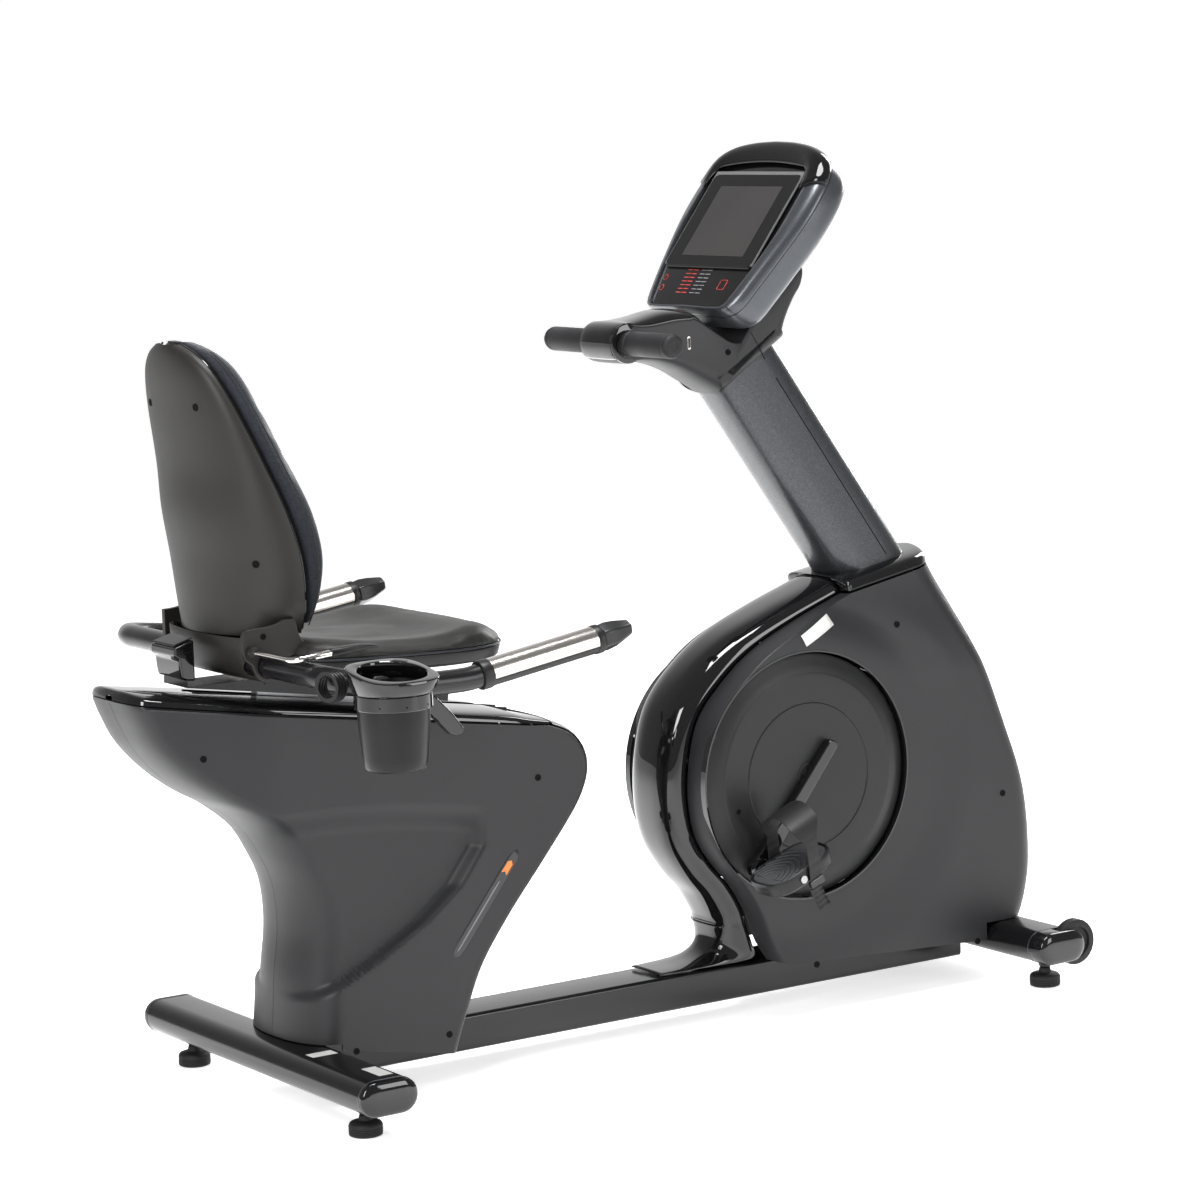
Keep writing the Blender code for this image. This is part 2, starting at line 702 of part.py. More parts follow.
# The tail of the spine cover, from its tip on the rail: the edge (x, z), the crown (x, z) and the
# half width of each row.
SPINE_TAIL = (
    (0.642, 0.0860, 0.642, 0.0885, 0.0400), (0.690, 0.0860, 0.690, 0.0905, 0.0445),
    (0.735, 0.0862, 0.722, 0.0955, 0.0445), (0.778, 0.0872, 0.742, 0.1065, 0.0450),
    (0.806, 0.0920, 0.751, 0.1250, 0.0490), (0.802, 0.1120, 0.750, 0.1480, 0.0550),
)


def spine_cover():
    """The gloss cover along the back of the front housing, with a tail that lies over the rail."""
    path = spline(((0.789, 0.0, 0.148),) + SPINE[2:], 19)
    normals = outward_normals(path, Vector((0.95, 0.0, 0.35)))
    rows = []
    for edge_x, edge_z, crown_x, crown_z, half in SPINE_TAIL:
        rise = Vector((crown_x - edge_x, 0.0, crown_z - edge_z))
        rows.append(strip_ring(Vector((edge_x, 0.0, edge_z)), rise, half, 1.0))
    half = SPINE_HALF_WIDTH - 0.001
    for at, normal in zip(path, normals):
        crown = 0.036 - 0.014 * blend(0.5, 0.64, at.z)
        rows.append(strip_ring(at + normal * 0.0012, normal, half, crown))
    skin("spine_cover", rows, GLOSS_BLACK, outward=(-1, 0, 0.3))


MAST_FOOT = Vector((1.077, 0.0, 0.655))
MAST_TOP = Vector((0.855, 0.0, 0.975))
MAST_DEPTH, MAST_WIDTH = 0.127, 0.104
MAST_LOW, MAST_RIM, MAST_HIGH = -0.10, 1.0545, 1.14


def mast_section(centre, depth, width, power=0.62):
    """A superellipse across the mast, level with its cross-section."""
    along = (MAST_TOP - MAST_FOOT).normalized()
    across = Vector((along.z, 0.0, -along.x))
    points = []
    for k in range(28):
        angle = 2 * math.pi * k / 28
        c, s = math.cos(angle), math.sin(angle)
        u = math.copysign(abs(c) ** power, c) * depth / 2
        v = math.copysign(abs(s) ** power, s) * width / 2
        points.append(centre + across * u + Vector((0.0, v, 0.0)))
    return points


def mast():
    rings = [mast_section(MAST_FOOT.lerp(MAST_TOP, t), MAST_DEPTH, MAST_WIDTH)
             for t in (MAST_LOW, MAST_HIGH)]
    hollow("mast", rings, 0.003, MAST_PAINT)


def mast_collar(edge):
    """The gloss cap that closes the top of the front housing round the mast."""
    stations = [edge[i] for i in (0, 2, 4, 5, 7, 9, 11, 13, 15, 17, 18, 19, 20, 21)]
    up = Vector((-(edge[-1] - edge[0]).z, 0.0, (edge[-1] - edge[0]).x)).normalized()
    rows = []
    for i, at in enumerate(stations):
        half = max(at.y, 0.012)
        crown = 0.020 if 0 < i < len(stations) - 1 else 0.014
        base = Vector((at.x, 0.0, at.z)) + up * (SHELL + GAP + 0.0005)
        row = []
        for k in range(11):
            angle = math.radians(-90 + 18 * k)
            across = half * math.copysign(abs(math.sin(angle)) ** 0.55, math.sin(angle))
            row.append(base + Vector((0, across, 0)) + up * crown * math.cos(angle) ** 0.5)
        rows.append(row)
    cap = skin("mast_collar", rows, GLOSS_BLACK, outward=up)
    rings = [
        mast_section(MAST_FOOT.lerp(MAST_TOP, t), MAST_DEPTH + 0.0016, MAST_WIDTH + 0.0016)
        for t in (-0.2, 0.4)
    ]
    hole = loft("mast_hole", rings, None)
    cut(cap, as_cutter(hole))


# ---------------------------------------------------------------- inner frame and drive
def inner_frame():
    """The welded uprights inside the housings and the rail that the seat slides on."""
    up = Vector((-SLIDE.z, 0.0, SLIDE.x))
    middle = Vector((0.10, 0.0, 0.556)) - up * 0.042
    ring = rounded_rectangle(0.070, 0.034, 0.005, 2)
    ends = (middle - SLIDE * 0.26, middle + SLIDE * 0.30)
    rings = [[end + Vector((0, a, 0)) + up * b for a, b in ring] for end in ends]
    hollow("slide_rail", rings, 0.003, ALUMINIUM)
    post = rounded_rectangle(0.09, 0.05, 0.006, 2)
    low = [Vector((0.135 + a, b, RAIL_TOP + GAP)) for a, b in post]
    high = [Vector((0.125 + a, b, 0.4905 - 0.162 * (a + 0.025))) for a, b in post]
    hollow("seat_post", [low, high], 0.0025, FRAME_BLACK)
    section = rounded_rectangle(0.034, 0.060, 0.005, 2)
    places = ((1.276, TUBE_Z + TUBE_HEIGHT / 2 + GAP, 0), (1.272, 0.32, 12), (1.160, 0.545, 30),
              (1.106, 0.632, 34))
    rings = []
    for x, z, lean in places:
        flat = math.radians(lean)
        rings.append(
            [Vector((x + a * math.cos(flat), b, z + a * math.sin(flat))) for a, b in section]
        )
    hollow("front_post", rings, 0.0025, FRAME_BLACK)


def belt_line():
    """The angles of the belt: the direction between the axles and where the runs leave."""
    gap = FLYWHEEL - CRANK
    direction = math.atan2(gap.z, gap.x)
    outer = PULLEY_RADIUS - DRIVEN_RADIUS
    return direction, math.acos(outer / gap.length), gap.length


def bottom_bracket():
    """The bearing housing of the crank, its welded plate and the idler's arm and pin."""
    housing = turned(
        "bottom_bracket", [(0.0102, 0.036), (0.023, 0.036), (0.023, -0.036), (0.0102, -0.036)],
        CRANK + Vector((0.0, -0.018, 0.0)), (0, 1, 0), STEEL,
    )
    top = CRANK.z - 0.018
    web = box(
        "bracket_web", (0.05, 0.03, top - RAIL_TOP - GAP),
        (CRANK.x, -0.03, (top + RAIL_TOP + GAP) / 2), None, bevel=0.0,
    )
    idler = idler_centre()
    arm = box(
        "idler_arm", (idler.x - CRANK.x, 0.008, 0.02),
        ((idler.x + CRANK.x) / 2, -0.02, idler.z), None, bevel=0.0,
    )
    pin = cylinder(
        "idler_pin", 0.004, 0.064, (idler.x, 0.010, idler.z), (0, 1, 0), None, segments=12
    )
    for piece in (web, arm, pin):
        join(housing, as_cutter(piece))


def idler_centre():
    direction, spread, length = belt_line()
    angle = direction - spread
    normal = Vector((math.cos(angle), 0.0, math.sin(angle)))
    along = Vector((-normal.z, 0.0, normal.x))
    run = length * math.sin(spread)
    clear = PULLEY_RADIUS + BELT_THICKNESS + 2 * GAP + IDLER_RADIUS
    return CRANK + normal * clear + along * run * 0.32


def drive():
    half = BELT_WIDTH / 2 + 0.001
    low, high = BELT_Y - half, BELT_Y + half
    turned(
        "drive_pulley",
        [
            (0.0100, high), (0.024, high), (0.024, BELT_Y + 0.003), (0.112, BELT_Y + 0.003),
            (0.112, high), (PULLEY_RADIUS, high), (PULLEY_RADIUS, low), (0.112, low),
            (0.112, BELT_Y - 0.003), (0.024, BELT_Y - 0.003), (0.024, low), (0.0100, low),
        ],
        (CRANK.x, 0.0, CRANK.z), (0, 1, 0), ALUMINIUM, CRANK_BODY, steps=32,
    )
    cylinder("crank_axle", 0.0096, 2 * (CRANK_PLANE - GAP), CRANK, (0, 1, 0), STEEL, CRANK_BODY)
    rim, width = FLYWHEEL_RADIUS, FLYWHEEL_WIDTH / 2
    turned(
        "flywheel",
        [
            (0.0085, high), (DRIVEN_RADIUS, high), (DRIVEN_RADIUS, 0.0235), (0.024, 0.0225),
            (0.024, 0.006), (0.094, 0.006), (0.094, width), (rim, width), (rim, -width),
            (0.094, -width), (0.094, -0.006), (0.024, -0.006), (0.024, -0.0225), (0.0085, -0.0225),
        ],
        FLYWHEEL, (0, 1, 0), CAST_IRON, FLYWHEEL_BODY, steps=32,
    )
    axle = cylinder("flywheel_fork", 0.008, 0.112, FLYWHEEL, (0, 1, 0), STEEL, segments=20)
    height = FLYWHEEL.z + 0.015 - RAIL_TOP - GAP
    for y in (-0.032, 0.050):
        cheek = box(
            f"fork_cheek_{y}", (0.04, 0.006, height),
            (FLYWHEEL.x, y, RAIL_TOP + GAP + height / 2), None, bevel=0.0,
        )
        join(axle, as_cutter(cheek))
    foot = box(
        "fork_foot", (0.04, 0.090, 0.006), (FLYWHEEL.x, 0.009, RAIL_TOP + GAP + 0.003), None,
        bevel=0.0,
    )
    join(axle, as_cutter(foot))
    coil_out = arc((FLYWHEEL.x, FLYWHEEL.z), rim + 0.024, 48, 112, 12)
    coil_in = arc((FLYWHEEL.x, FLYWHEEL.z), rim + 0.002, 112, 48, 12)
    plate("brake_coils", coil_out + coil_in, -0.020, 0.020, STEEL)
    drive_belt()
    idler = idler_centre()
    turned(
        "idler_wheel",
        [(0.0045, high), (IDLER_RADIUS, high), (IDLER_RADIUS, low), (0.0045, low)],
        (idler.x, 0.0, idler.z), (0, 1, 0), STEEL, IDLER_BODY, steps=20,
    )


def drive_belt():
    direction, spread, _ = belt_line()
    grow = BELT_THICKNESS + GAP
    start, end = math.degrees(direction + spread), math.degrees(direction - spread) + 360
    outline = arc((CRANK.x, CRANK.z), PULLEY_RADIUS + grow, start, end, 34)
    outline += arc((FLYWHEEL.x, FLYWHEEL.z), DRIVEN_RADIUS + grow, end - 360, start, 12)
    rings = [
        [Vector((x, y, z)) for x, z in outline]
        for y in (BELT_Y - BELT_WIDTH / 2, BELT_Y + BELT_WIDTH / 2)
    ]
    hollow("drive_belt", rings, BELT_THICKNESS, RUBBER)


def crank_side(word, side, angle):
    """The disc, arm and pedal of one side; side is -1 on the right."""
    outer, middle = DISC_STEPS
    turned(
        f"crank_disc_{word}",
        [
            (0.0100, 0.1085), (middle - 0.001, 0.1085), (middle, 0.1078), (middle + 0.001, 0.1085),
            (outer, 0.1080), (DISC_RADIUS, 0.1000), (DISC_RADIUS, 0.0960), (outer, 0.1040),
            (0.0100, 0.1045),
        ],
        CRANK, (0, side, 0), MATTE_SHELL, CRANK_BODY, steps=40,
    )
    along = Vector((math.cos(angle), 0.0, math.sin(angle)))
    degrees = math.degrees(angle)
    tip = CRANK + along * CRANK_LENGTH
    tail = CRANK - along * 0.054
    outline = arc((tail.x, tail.z), 0.0105, degrees + 90, degrees + 270, 9)
    outline += arc((tip.x, tip.z), 0.0165, degrees - 90, degrees + 90, 11)
    low, high = sorted((side * 0.1090, side * 0.1245))
    arm = to_mesh(
        plate(f"crank_arm_{word}", outline, low, high, GLOSS_BLACK, CRANK_BODY, bevel=0.002)
    )
    slot = cylinder(
        f"axle_seat_{word}", 0.0100, 0.00325, CRANK + Vector((0, side * 0.1103, 0)), (0, 1, 0),
        None, CRANK_BODY,
    )
    cut(arm, as_cutter(slot))
    spindle = cylinder(
        f"spindle_{word}", 0.006, 0.115, tip + Vector((0, side * 0.178, 0)), (0, 1, 0), None,
        CRANK_BODY, segments=16,
    )
    join(arm, as_cutter(spindle))
    pedal(word, side, tip)


def pedal(word, side, tip):
    holder = moving(f"pedal_{word}", tip, CRANK_BODY)
    turn = Matrix.Rotation(PEDAL_PITCH, 3, "Y")
    centre = tip + Vector((0.0, side * PEDAL_Y, 0.0))
    rings = []
    for z, grow in ((-0.013, 0.84), (-0.009, 0.97), (0.006, 1.0), (0.0125, 0.98)):
        ring = []
        for k in range(28):
            angle = 2 * math.pi * k / 28
            c, s = math.cos(angle), math.sin(angle)
            x = 0.014 + grow * 0.060 * math.copysign(abs(c) ** 0.7, c)
            y = grow * 0.045 * math.copysign(abs(s) ** 0.7, s)
            ring.append(centre + turn @ Vector((x, y, z)))
        rings.append(ring)
    tread = loft(f"pedal_{word}", rings, RUBBER, holder)
    bore = cylinder(
        f"pedal_bore_{word}", 0.0065, 0.16, centre, (0, 1, 0), None, holder, segments=16
    )
    cut(tread, as_cutter(bore))
    path = spline(
        (
            (-0.0505, 0.0, -0.030), (-0.0515, 0.0, 0.015), (-0.0490, 0.0, 0.050),
            (-0.0330, 0.0, 0.076), (0.0, 0.0, 0.083), (0.0330, 0.0, 0.070), (0.0490, 0.0, 0.040),
            (0.0510, 0.0, 0.010), (0.0495, 0.0, -0.022),
        ),
        20,
    )
    rows = []
    for p in path:
        flare = 0.011 + 0.015 * blend(0.040, 0.072, p.z)
        lean = 0.0205 + 0.34 * p.z
        rows.append(
            [centre + turn @ Vector((lean + w, side * p.x, p.z)) for w in (-flare, 0.0, flare)]
        )
    skin(f"pedal_strap_{word}", rows, RUBBER, holder, 0.002, outward=turn @ Vector((0, 0, 1)))


# ---------------------------------------------------------------- seat
SEAT_REAR, SEAT_FRONT, SEAT_HALF_WIDTH = -0.031, 0.354, 0.200
BACK_LEVELS = (
    # z, side edge x, half width, rear x, cushion front x
    (0.692, 0.004, 0.132, -0.092, 0.026),
    (0.730, 0.002, 0.148, -0.092, 0.038),
    (0.790, -0.005, 0.156, -0.096, 0.046),
    (0.855, -0.022, 0.153, -0.1045, 0.034),
    (0.920, -0.045, 0.141, -0.1065, 0.008),
    (1.000, -0.075, 0.120, -0.1165, -0.024),
    (1.050, -0.093, 0.095, -0.1240, -0.044),
    (1.077, -0.103, 0.066, -0.126, -0.062),
    (1.092, -0.110, 0.030, -0.125, -0.080),
)


def seat_carriage():
    """The carriage over the deck, with a stem through its slot down to the slide rail."""
    up = Vector((-SLIDE.z, 0.0, SLIDE.x))
    deck = Vector((0.10, 0.0, 0.556))

    def on_deck(s, n):
        place = deck + SLIDE * s + up * n
        return (place.x, place.z)

    outline = [
        (-0.146, 0.673), (-0.146, 0.661), (-0.1395, 0.655), (-0.138, 0.640), (-0.136, 0.628),
        on_deck(-0.235, 0.022), on_deck(0.19, 0.022), on_deck(0.19, 0.036), (0.230, 0.6165),
        (-0.128, 0.6165), (-0.134, 0.686),
    ]
    body_plate = to_mesh(
        plate("seat_carriage", outline, -0.036, 0.036, FRAME_BLACK, SEAT_BODY, bevel=0.002)
    )
    middle = deck + SLIDE * 0.0 + up * 0.001
    stem = box(
        "carriage_stem", (0.22, 0.018, 0.046), middle, None, SEAT_BODY, bevel=0.0, tilt=SLIDE_TILT
    )
    join(body_plate, as_cutter(stem))


def slab(name, levels, paint, parent, power=0.42):
    """A seat-shaped closed solid from (z, x inset, y inset) levels."""
    rings = []
    for z, inset in levels:
        ring = []
        for k in range(36):
            angle = 2 * math.pi * k / 36
            c, s = math.cos(angle), math.sin(angle)
            half_x = (SEAT_FRONT - SEAT_REAR) / 2 - inset
            x = (SEAT_FRONT + SEAT_REAR) / 2 + half_x * math.copysign(abs(c) ** power, c)
            y = (SEAT_HALF_WIDTH - inset) * math.copysign(abs(s) ** power, s)
            ring.append(Vector((x, y, z + 0.035 * (SEAT_FRONT - x))))
        rings.append(ring)
    return loft(name, rings, paint, parent)


def backrest():
    shell_rows, rings = [], []
    for z, edge, half, rear, front in BACK_LEVELS:
        row = []
        for k in range(15):
            angle = math.radians(-90 + 180 * k / 14)
            row.append(
                Vector((edge + (rear - edge) * math.cos(angle) ** 0.9, half * math.sin(angle), z))
            )
        shell_rows.append(row)
        ring = []
        inner, depth = half - 0.004, front - edge - 0.003
        for k in range(24):
            angle = 2 * math.pi * k / 24
            c, s = math.cos(angle), math.sin(angle)
            x = edge + 0.003 + depth * (0.5 + 0.5 * math.copysign(abs(c) ** 0.35, c))
            ring.append(Vector((x, inner * math.copysign(abs(s) ** 0.55, s), z + 0.004)))
        rings.append(ring)
    skin("backrest_shell", shell_rows, BACK_SHELL, BACKREST_BODY, outward=(-1, 0, 0))
    loft("backrest_cushion", rings, FABRIC, BACKREST_BODY)


def backrest_bracket():
    """Two side plates on the recline pivot, joined by a bar behind the cushion's foot."""
    x, z = RECLINE.x, RECLINE.z
    outline = arc((x, z), 0.0225, 200, 345, 6) + [
        (-0.0345, 0.672), (-0.0345, 0.684), (-0.018, 0.690), (-0.025, 0.713), (-0.098, 0.702),
        (-0.096, 0.676),
    ]
    bracket = to_mesh(
        plate("backrest_bracket", outline, -0.1425, -0.1385, CONSOLE_GREY, BACKREST_BODY)
    )
    other = to_mesh(plate("bracket_left", outline, 0.1385, 0.1425, None, BACKREST_BODY))
    hole = cylinder(
        "pivot_hole", HANDLE_RADIUS + 0.0006, 0.4, RECLINE, (0, 1, 0), None, BACKREST_BODY
    )
    as_cutter(hole)
    cut(bracket, hole)
    cut(other, hole)
    bar = box(
        "bracket_bar", (0.014, 0.281, 0.010), (-0.052, 0.0, 0.681), None, BACKREST_BODY, bevel=0.0
    )
    join(bracket, as_cutter(other))
    join(bracket, as_cutter(bar))


HANDLE_X, HANDLE_Z, HANDLE_Y = -0.056, 0.650, 0.342
HANDLE_RADIUS = 0.0165
GRIP_START, GRIP_END = Vector((0.165, HANDLE_Y, 0.634)), Vector((0.350, HANDLE_Y, 0.662))


def handlebar():
    """One bent tube under the seat with a grip plate and end cap on each side."""
    half = [
        Vector((HANDLE_X, 0.10, HANDLE_Z)), Vector((HANDLE_X, 0.24, HANDLE_Z)),
        Vector((HANDLE_X + 0.004, 0.290, HANDLE_Z - 0.001)),
        Vector((HANDLE_X + 0.026, 0.328, HANDLE_Z - 0.005)),
        Vector((HANDLE_X + 0.066, HANDLE_Y, HANDLE_Z - 0.011)),
        Vector((0.070, HANDLE_Y, 0.632)), Vector((0.130, HANDLE_Y, 0.6305)),
        GRIP_START, GRIP_END, Vector((0.372, HANDLE_Y, 0.6655)),
    ]
    points = [Vector((p.x, -p.y, p.z)) for p in reversed(half)] + half
    bar = to_mesh(tube("seat_handlebar", points, HANDLE_RADIUS, FRAME_BLACK, SEAT_BODY))
    along = (GRIP_END - GRIP_START).normalized()
    up = Vector((-along.z, 0.0, along.x))
    for word, side in (("right", -1), ("left", 1)):
        rings = []
        for end in (GRIP_START, GRIP_END):
            middle = Vector((end.x, side * end.y, end.z))
            ring = []
            for k in range(20):
                angle = 2 * math.pi * k / 20
                radius = HANDLE_RADIUS + 0.0032
                ring.append(
                    middle + Vector((0, 1, 0)) * radius * math.cos(angle)
                    + up * radius * math.sin(angle)
                )
            rings.append(ring)
        hollow(f"pulse_grip_{word}", rings, 0.0022, STAINLESS, SEAT_BODY)
        start = Vector((0.3600, side * HANDLE_Y, 0.6636))
        rings = []
        for step, radius in ((0.0, 0.0190), (0.018, 0.0185), (0.048, 0.0125), (0.052, 0.0100)):
            centre = start + along * step
            rings.append([
                centre + Vector((0, 1, 0)) * radius * math.cos(2 * math.pi * k / 10)
                + up * radius * math.sin(2 * math.pi * k / 10)
                for k in range(10)
            ])
        join(bar, as_cutter(loft(f"handle_cap_{word}", rings, None, SEAT_BODY)))


def cup_holder():
    profile = [
        (0.0, 0.012), (0.040, 0.012), (0.0455, 0.132), (0.056, 0.132), (0.056, 0.085),
        (0.0500, 0.080), (0.0475, 0.055), (0.043, 0.004), (0.039, 0.0), (0.0, 0.0),
    ]
    cup = turned("cup_holder", profile, CUP - Vector((0, 0, 0.132)), (0, 0, 1), RUBBER, SEAT_BODY)
    near = CUP.y + 0.049
    reach = -HANDLE_Y - 0.0015 - HANDLE_RADIUS - near
    tab = box(
        "cup_tab", (0.034, reach, 0.026), (CUP.x + 0.024, near + reach / 2, CUP.z - 0.026),
        None, SEAT_BODY, bevel=0.0,
    )
    join(cup, as_cutter(tab))


RECLINE_LEVER = Vector((-0.082, -0.150, 0.672))
SLIDE_LEVER = Vector((0.120, -0.160, 0.604))


def levers():
    x, y, z = RECLINE_LEVER
    rod = to_mesh(tube(
        "recline_lever",
        [
            (x, y, z), (x, y - 0.090, z), (x + 0.005, y - 0.108, z + 0.001),
            (x + 0.022, y - 0.115, z + 0.003), (x + 0.060, y - 0.115, z + 0.006),
        ],
        0.0045, CHROME, RECLINE_LEVER_BODY,
    ))
    paddle = box(
        "recline_paddle", (0.070, 0.016, 0.010), (x + 0.090, y - 0.115, z + 0.008), None,
        RECLINE_LEVER_BODY, bevel=0.0, tilt=math.radians(-5),
    )
    join(rod, as_cutter(paddle))
    x, y, z = SLIDE_LEVER
    outline = [
        (x - 0.014, z + 0.010), (x - 0.014, z - 0.010), (x + 0.050, z - 0.034),
        (x + 0.094, z - 0.080), (x + 0.112, z - 0.083), (x + 0.120, z - 0.074),
        (x + 0.072, z - 0.022), (x + 0.014, z + 0.010),
    ]
    plate("slide_lever", outline, y - 0.006, y + 0.006, GLOSS_BLACK, SLIDE_LEVER_BODY, bevel=0.002)


def seat():
    seat_carriage()
    slab("seat_pan", ((0.6176, 0.030), (0.6230, 0.008), (0.6390, 0.004)), RUBBER, SEAT_BODY)
    slab(
        "seat_cushion", ((0.6400, 0.006), (0.6480, 0.0), (0.6570, 0.006), (0.6620, 0.030)), VINYL,
        SEAT_BODY,
    )
    backrest()
    backrest_bracket()
    handlebar()
    cup_holder()
    levers()


# ---------------------------------------------------------------- console
def console_outline(inset, face=False):
    """The console's outline as (across, up): its widest line, or the smaller edge of its face."""
    wide = (
        (0.0, 0.0, -0.122), (0.060, 0.0, -0.124), (0.098, 0.0, -0.122), (0.119, 0.0, -0.109),
        (0.131, 0.0, -0.070), (0.141, 0.0, -0.030), (0.154, 0.0, 0.027), (0.159, 0.0, 0.070),
        (0.156, 0.0, 0.115), (0.141, 0.0, 0.147), (0.105, 0.0, 0.169), (0.055, 0.0, 0.179),
        (0.0, 0.0, 0.182),
    )
    small = (
        (0.0, 0.0, -0.120), (0.055, 0.0, -0.1215), (0.086, 0.0, -0.1205), (0.100, 0.0, -0.116),
        (0.112, 0.0, -0.080), (0.122, 0.0, -0.040), (0.132, 0.0, 0.020), (0.1335, 0.0, 0.070),
        (0.131, 0.0, 0.108), (0.123, 0.0, 0.138), (0.094, 0.0, 0.159), (0.050, 0.0, 0.168),
        (0.0, 0.0, 0.171),
    )
    half = spline(small if face else wide, 20)
    shrink = 1 - inset / 0.15
    points = [(p.x * shrink, p.z * shrink) for p in half]
    return points + [(-x, z) for x, z in points[-2:0:-1]]


def console_ring(inset, out, face=False):
    return tilted(
        CONSOLE_TILT, CONSOLE, [(x, z, out) for x, z in console_outline(inset, face)]
    )


def on_console(up, out):
    return tilted(CONSOLE_TILT, CONSOLE, [(0.0, up, out)])[0]


def console_box(name, size, up, out, paint, bevel):
    """A block on the console's face; size is (across, up the face, thick)."""
    across, height, thick = size
    return box(
        name, (height, across, thick), on_console(up, out + thick / 2), paint, bevel=bevel,
        tilt=-CONSOLE_TILT,
    )


def console():
    back = [console_ring(0.0, -0.0080), console_ring(0.0005, -0.030), console_ring(0.004, -0.044),
            console_ring(0.014, -0.054), console_ring(0.060, -0.062)]
    hollow("console_back", back, SHELL, CONSOLE_GREY, closed_end=True)
    front = [console_ring(0.001, -0.0076), console_ring(0.001, -0.003),
             console_ring(0.0, 0.0035, True), console_ring(0.003, 0.0050, True)]
    loft("console_bezel", front, GLOSS_BLACK)
    console_box("tablet_screen", (0.230, 0.172, 0.0065), 0.040, 0.0054, GLASS_BLACK, 0.002)
    neck_cover()
    bar = 2 * 0.145
    cylinder("console_bar", 0.0125, bar, GRIP_BAR, (0, 1, 0), FRAME_BLACK, segments=24)
    for word, side in (("right", -1), ("left", 1)):
        length, r = GRIP_END_Y - 0.047, GRIP_RADIUS
        start = GRIP_BAR + Vector((0.0, side * 0.047, 0.0))
        profile = [
            (0.0, length), (r - 0.006, length), (r - 0.001, length - 0.003),
            (r, length - 0.010), (r, 0.0), (0.0129, 0.0), (0.0129, 0.1), (0.0, 0.1),
        ]
        turned(f"console_grip_{word}", profile, start, (0, side, 0), RUBBER)


def neck_outline():
    """The gooseneck's outline at its middle: (point, how far the sides stand in, inward)."""
    along = (MAST_TOP - MAST_FOOT).normalized()
    across = Vector((along.z, 0.0, -along.x))
    rim = MAST_FOOT.lerp(MAST_TOP, MAST_RIM)
    reach = MAST_DEPTH / 2 + 0.0025
    nose = [(x, z, 0.002, None) for x, z in arc((GRIP_BAR.x, GRIP_BAR.z), 0.031, 100, 262, 11)]
    back, front = rim - across * reach, rim + across * reach
    outline = nose + [
        (0.645, 1.0135, 0.010, None), (0.680, 1.0080, 0.020, None), (0.718, 0.9945, 0.027, None),
        (0.755, 0.9740, 0.030, None), (back.x, back.z, 0.030, across),
        (front.x, front.z, 0.030, -across), (0.9005, 1.0500, 0.026, None),
        (0.9060, 1.0680, 0.022, None), (0.9160, 1.0900, 0.018, None),
        (0.9270, 1.1130, 0.012, None), (0.9250, 1.1400, 0.004, None),
        (0.9050, 1.1570, 0.002, None), (0.8689, 1.1110, 0.002, None),
        (0.8300, 1.0600, 0.002, None), (0.8120, 1.0330, 0.002, None),
        (0.7930, 1.0390, 0.004, None), (0.7450, 1.0780, 0.012, None),
        (0.7300, 1.0860, 0.020, None), (0.7000, 1.0870, 0.022, None),
        (0.6600, 1.0800, 0.019, None), (0.6350, 1.0765, 0.012, None),
    ]
    found = []
    for i, (x, z, depth, inward) in enumerate(outline):
        before, after = outline[i - 1], outline[(i + 1) % len(outline)]
        way = Vector((after[0] - before[0], 0.0, after[1] - before[1])).normalized()
        found.append((Vector((x, 0.0, z)), depth, inward or Vector((-way.z, 0.0, way.x))))
    return found


def neck_half_width(x):
    return 0.0430 + 0.0966 * (x - 0.622)


def neck_cover():
    """The gooseneck that joins the mast, the console and the cross bar."""
    rings = []
    for f in (-1.0, -0.92, -0.72, 0.0, 0.72, 0.92, 1.0):
        ring = []
        for point, depth, inward in neck_outline():
            at = point + inward * depth * (1 - (1 - abs(f) ** 2.6) ** (1 / 2.6))
            ring.append(at + Vector((0.0, f * neck_half_width(at.x), 0.0)))
        rings.append(ring)
    neck = loft("neck_cover", rings, MATTE_SHELL)
    rings = [
        mast_section(MAST_FOOT.lerp(MAST_TOP, t), MAST_DEPTH + 0.0012, MAST_WIDTH + 0.0012)
        for t in (0.8, MAST_HIGH + 0.0025)
    ]
    cut(neck, as_cutter(loft("neck_socket", rings, None)))
    hole = cylinder("bar_hole", 0.0129, 0.2, GRIP_BAR, (0, 1, 0), None, segments=24)
    cut(neck, as_cutter(hole))


# ---------------------------------------------------------------- assembly
CRANK_BODY = moving("crank", CRANK)
FLYWHEEL_BODY = moving("flywheel", FLYWHEEL)
IDLER_BODY = moving("idler", idler_centre())
SEAT_BODY = moving("seat", (0.10, 0.0, 0.60))
BACKREST_BODY = moving("backrest", RECLINE, SEAT_BODY)
RECLINE_LEVER_BODY = moving("recline_lever", RECLINE_LEVER, SEAT_BODY)
SLIDE_LEVER_BODY = moving("slide_lever", SLIDE_LEVER, SEAT_BODY)

frame()
rear_housing()
front_housing()
mast()
inner_frame()
bottom_bracket()
drive()
crank_side("right", -1, CRANK_ANGLE)
crank_side("left", 1, CRANK_ANGLE + math.pi)
seat()
console()
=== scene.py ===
"""A recumbent exercise bike: fine surfaces, materials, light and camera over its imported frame."""

import json
import math

import bmesh
import bpy
from mathutils import Matrix, Vector


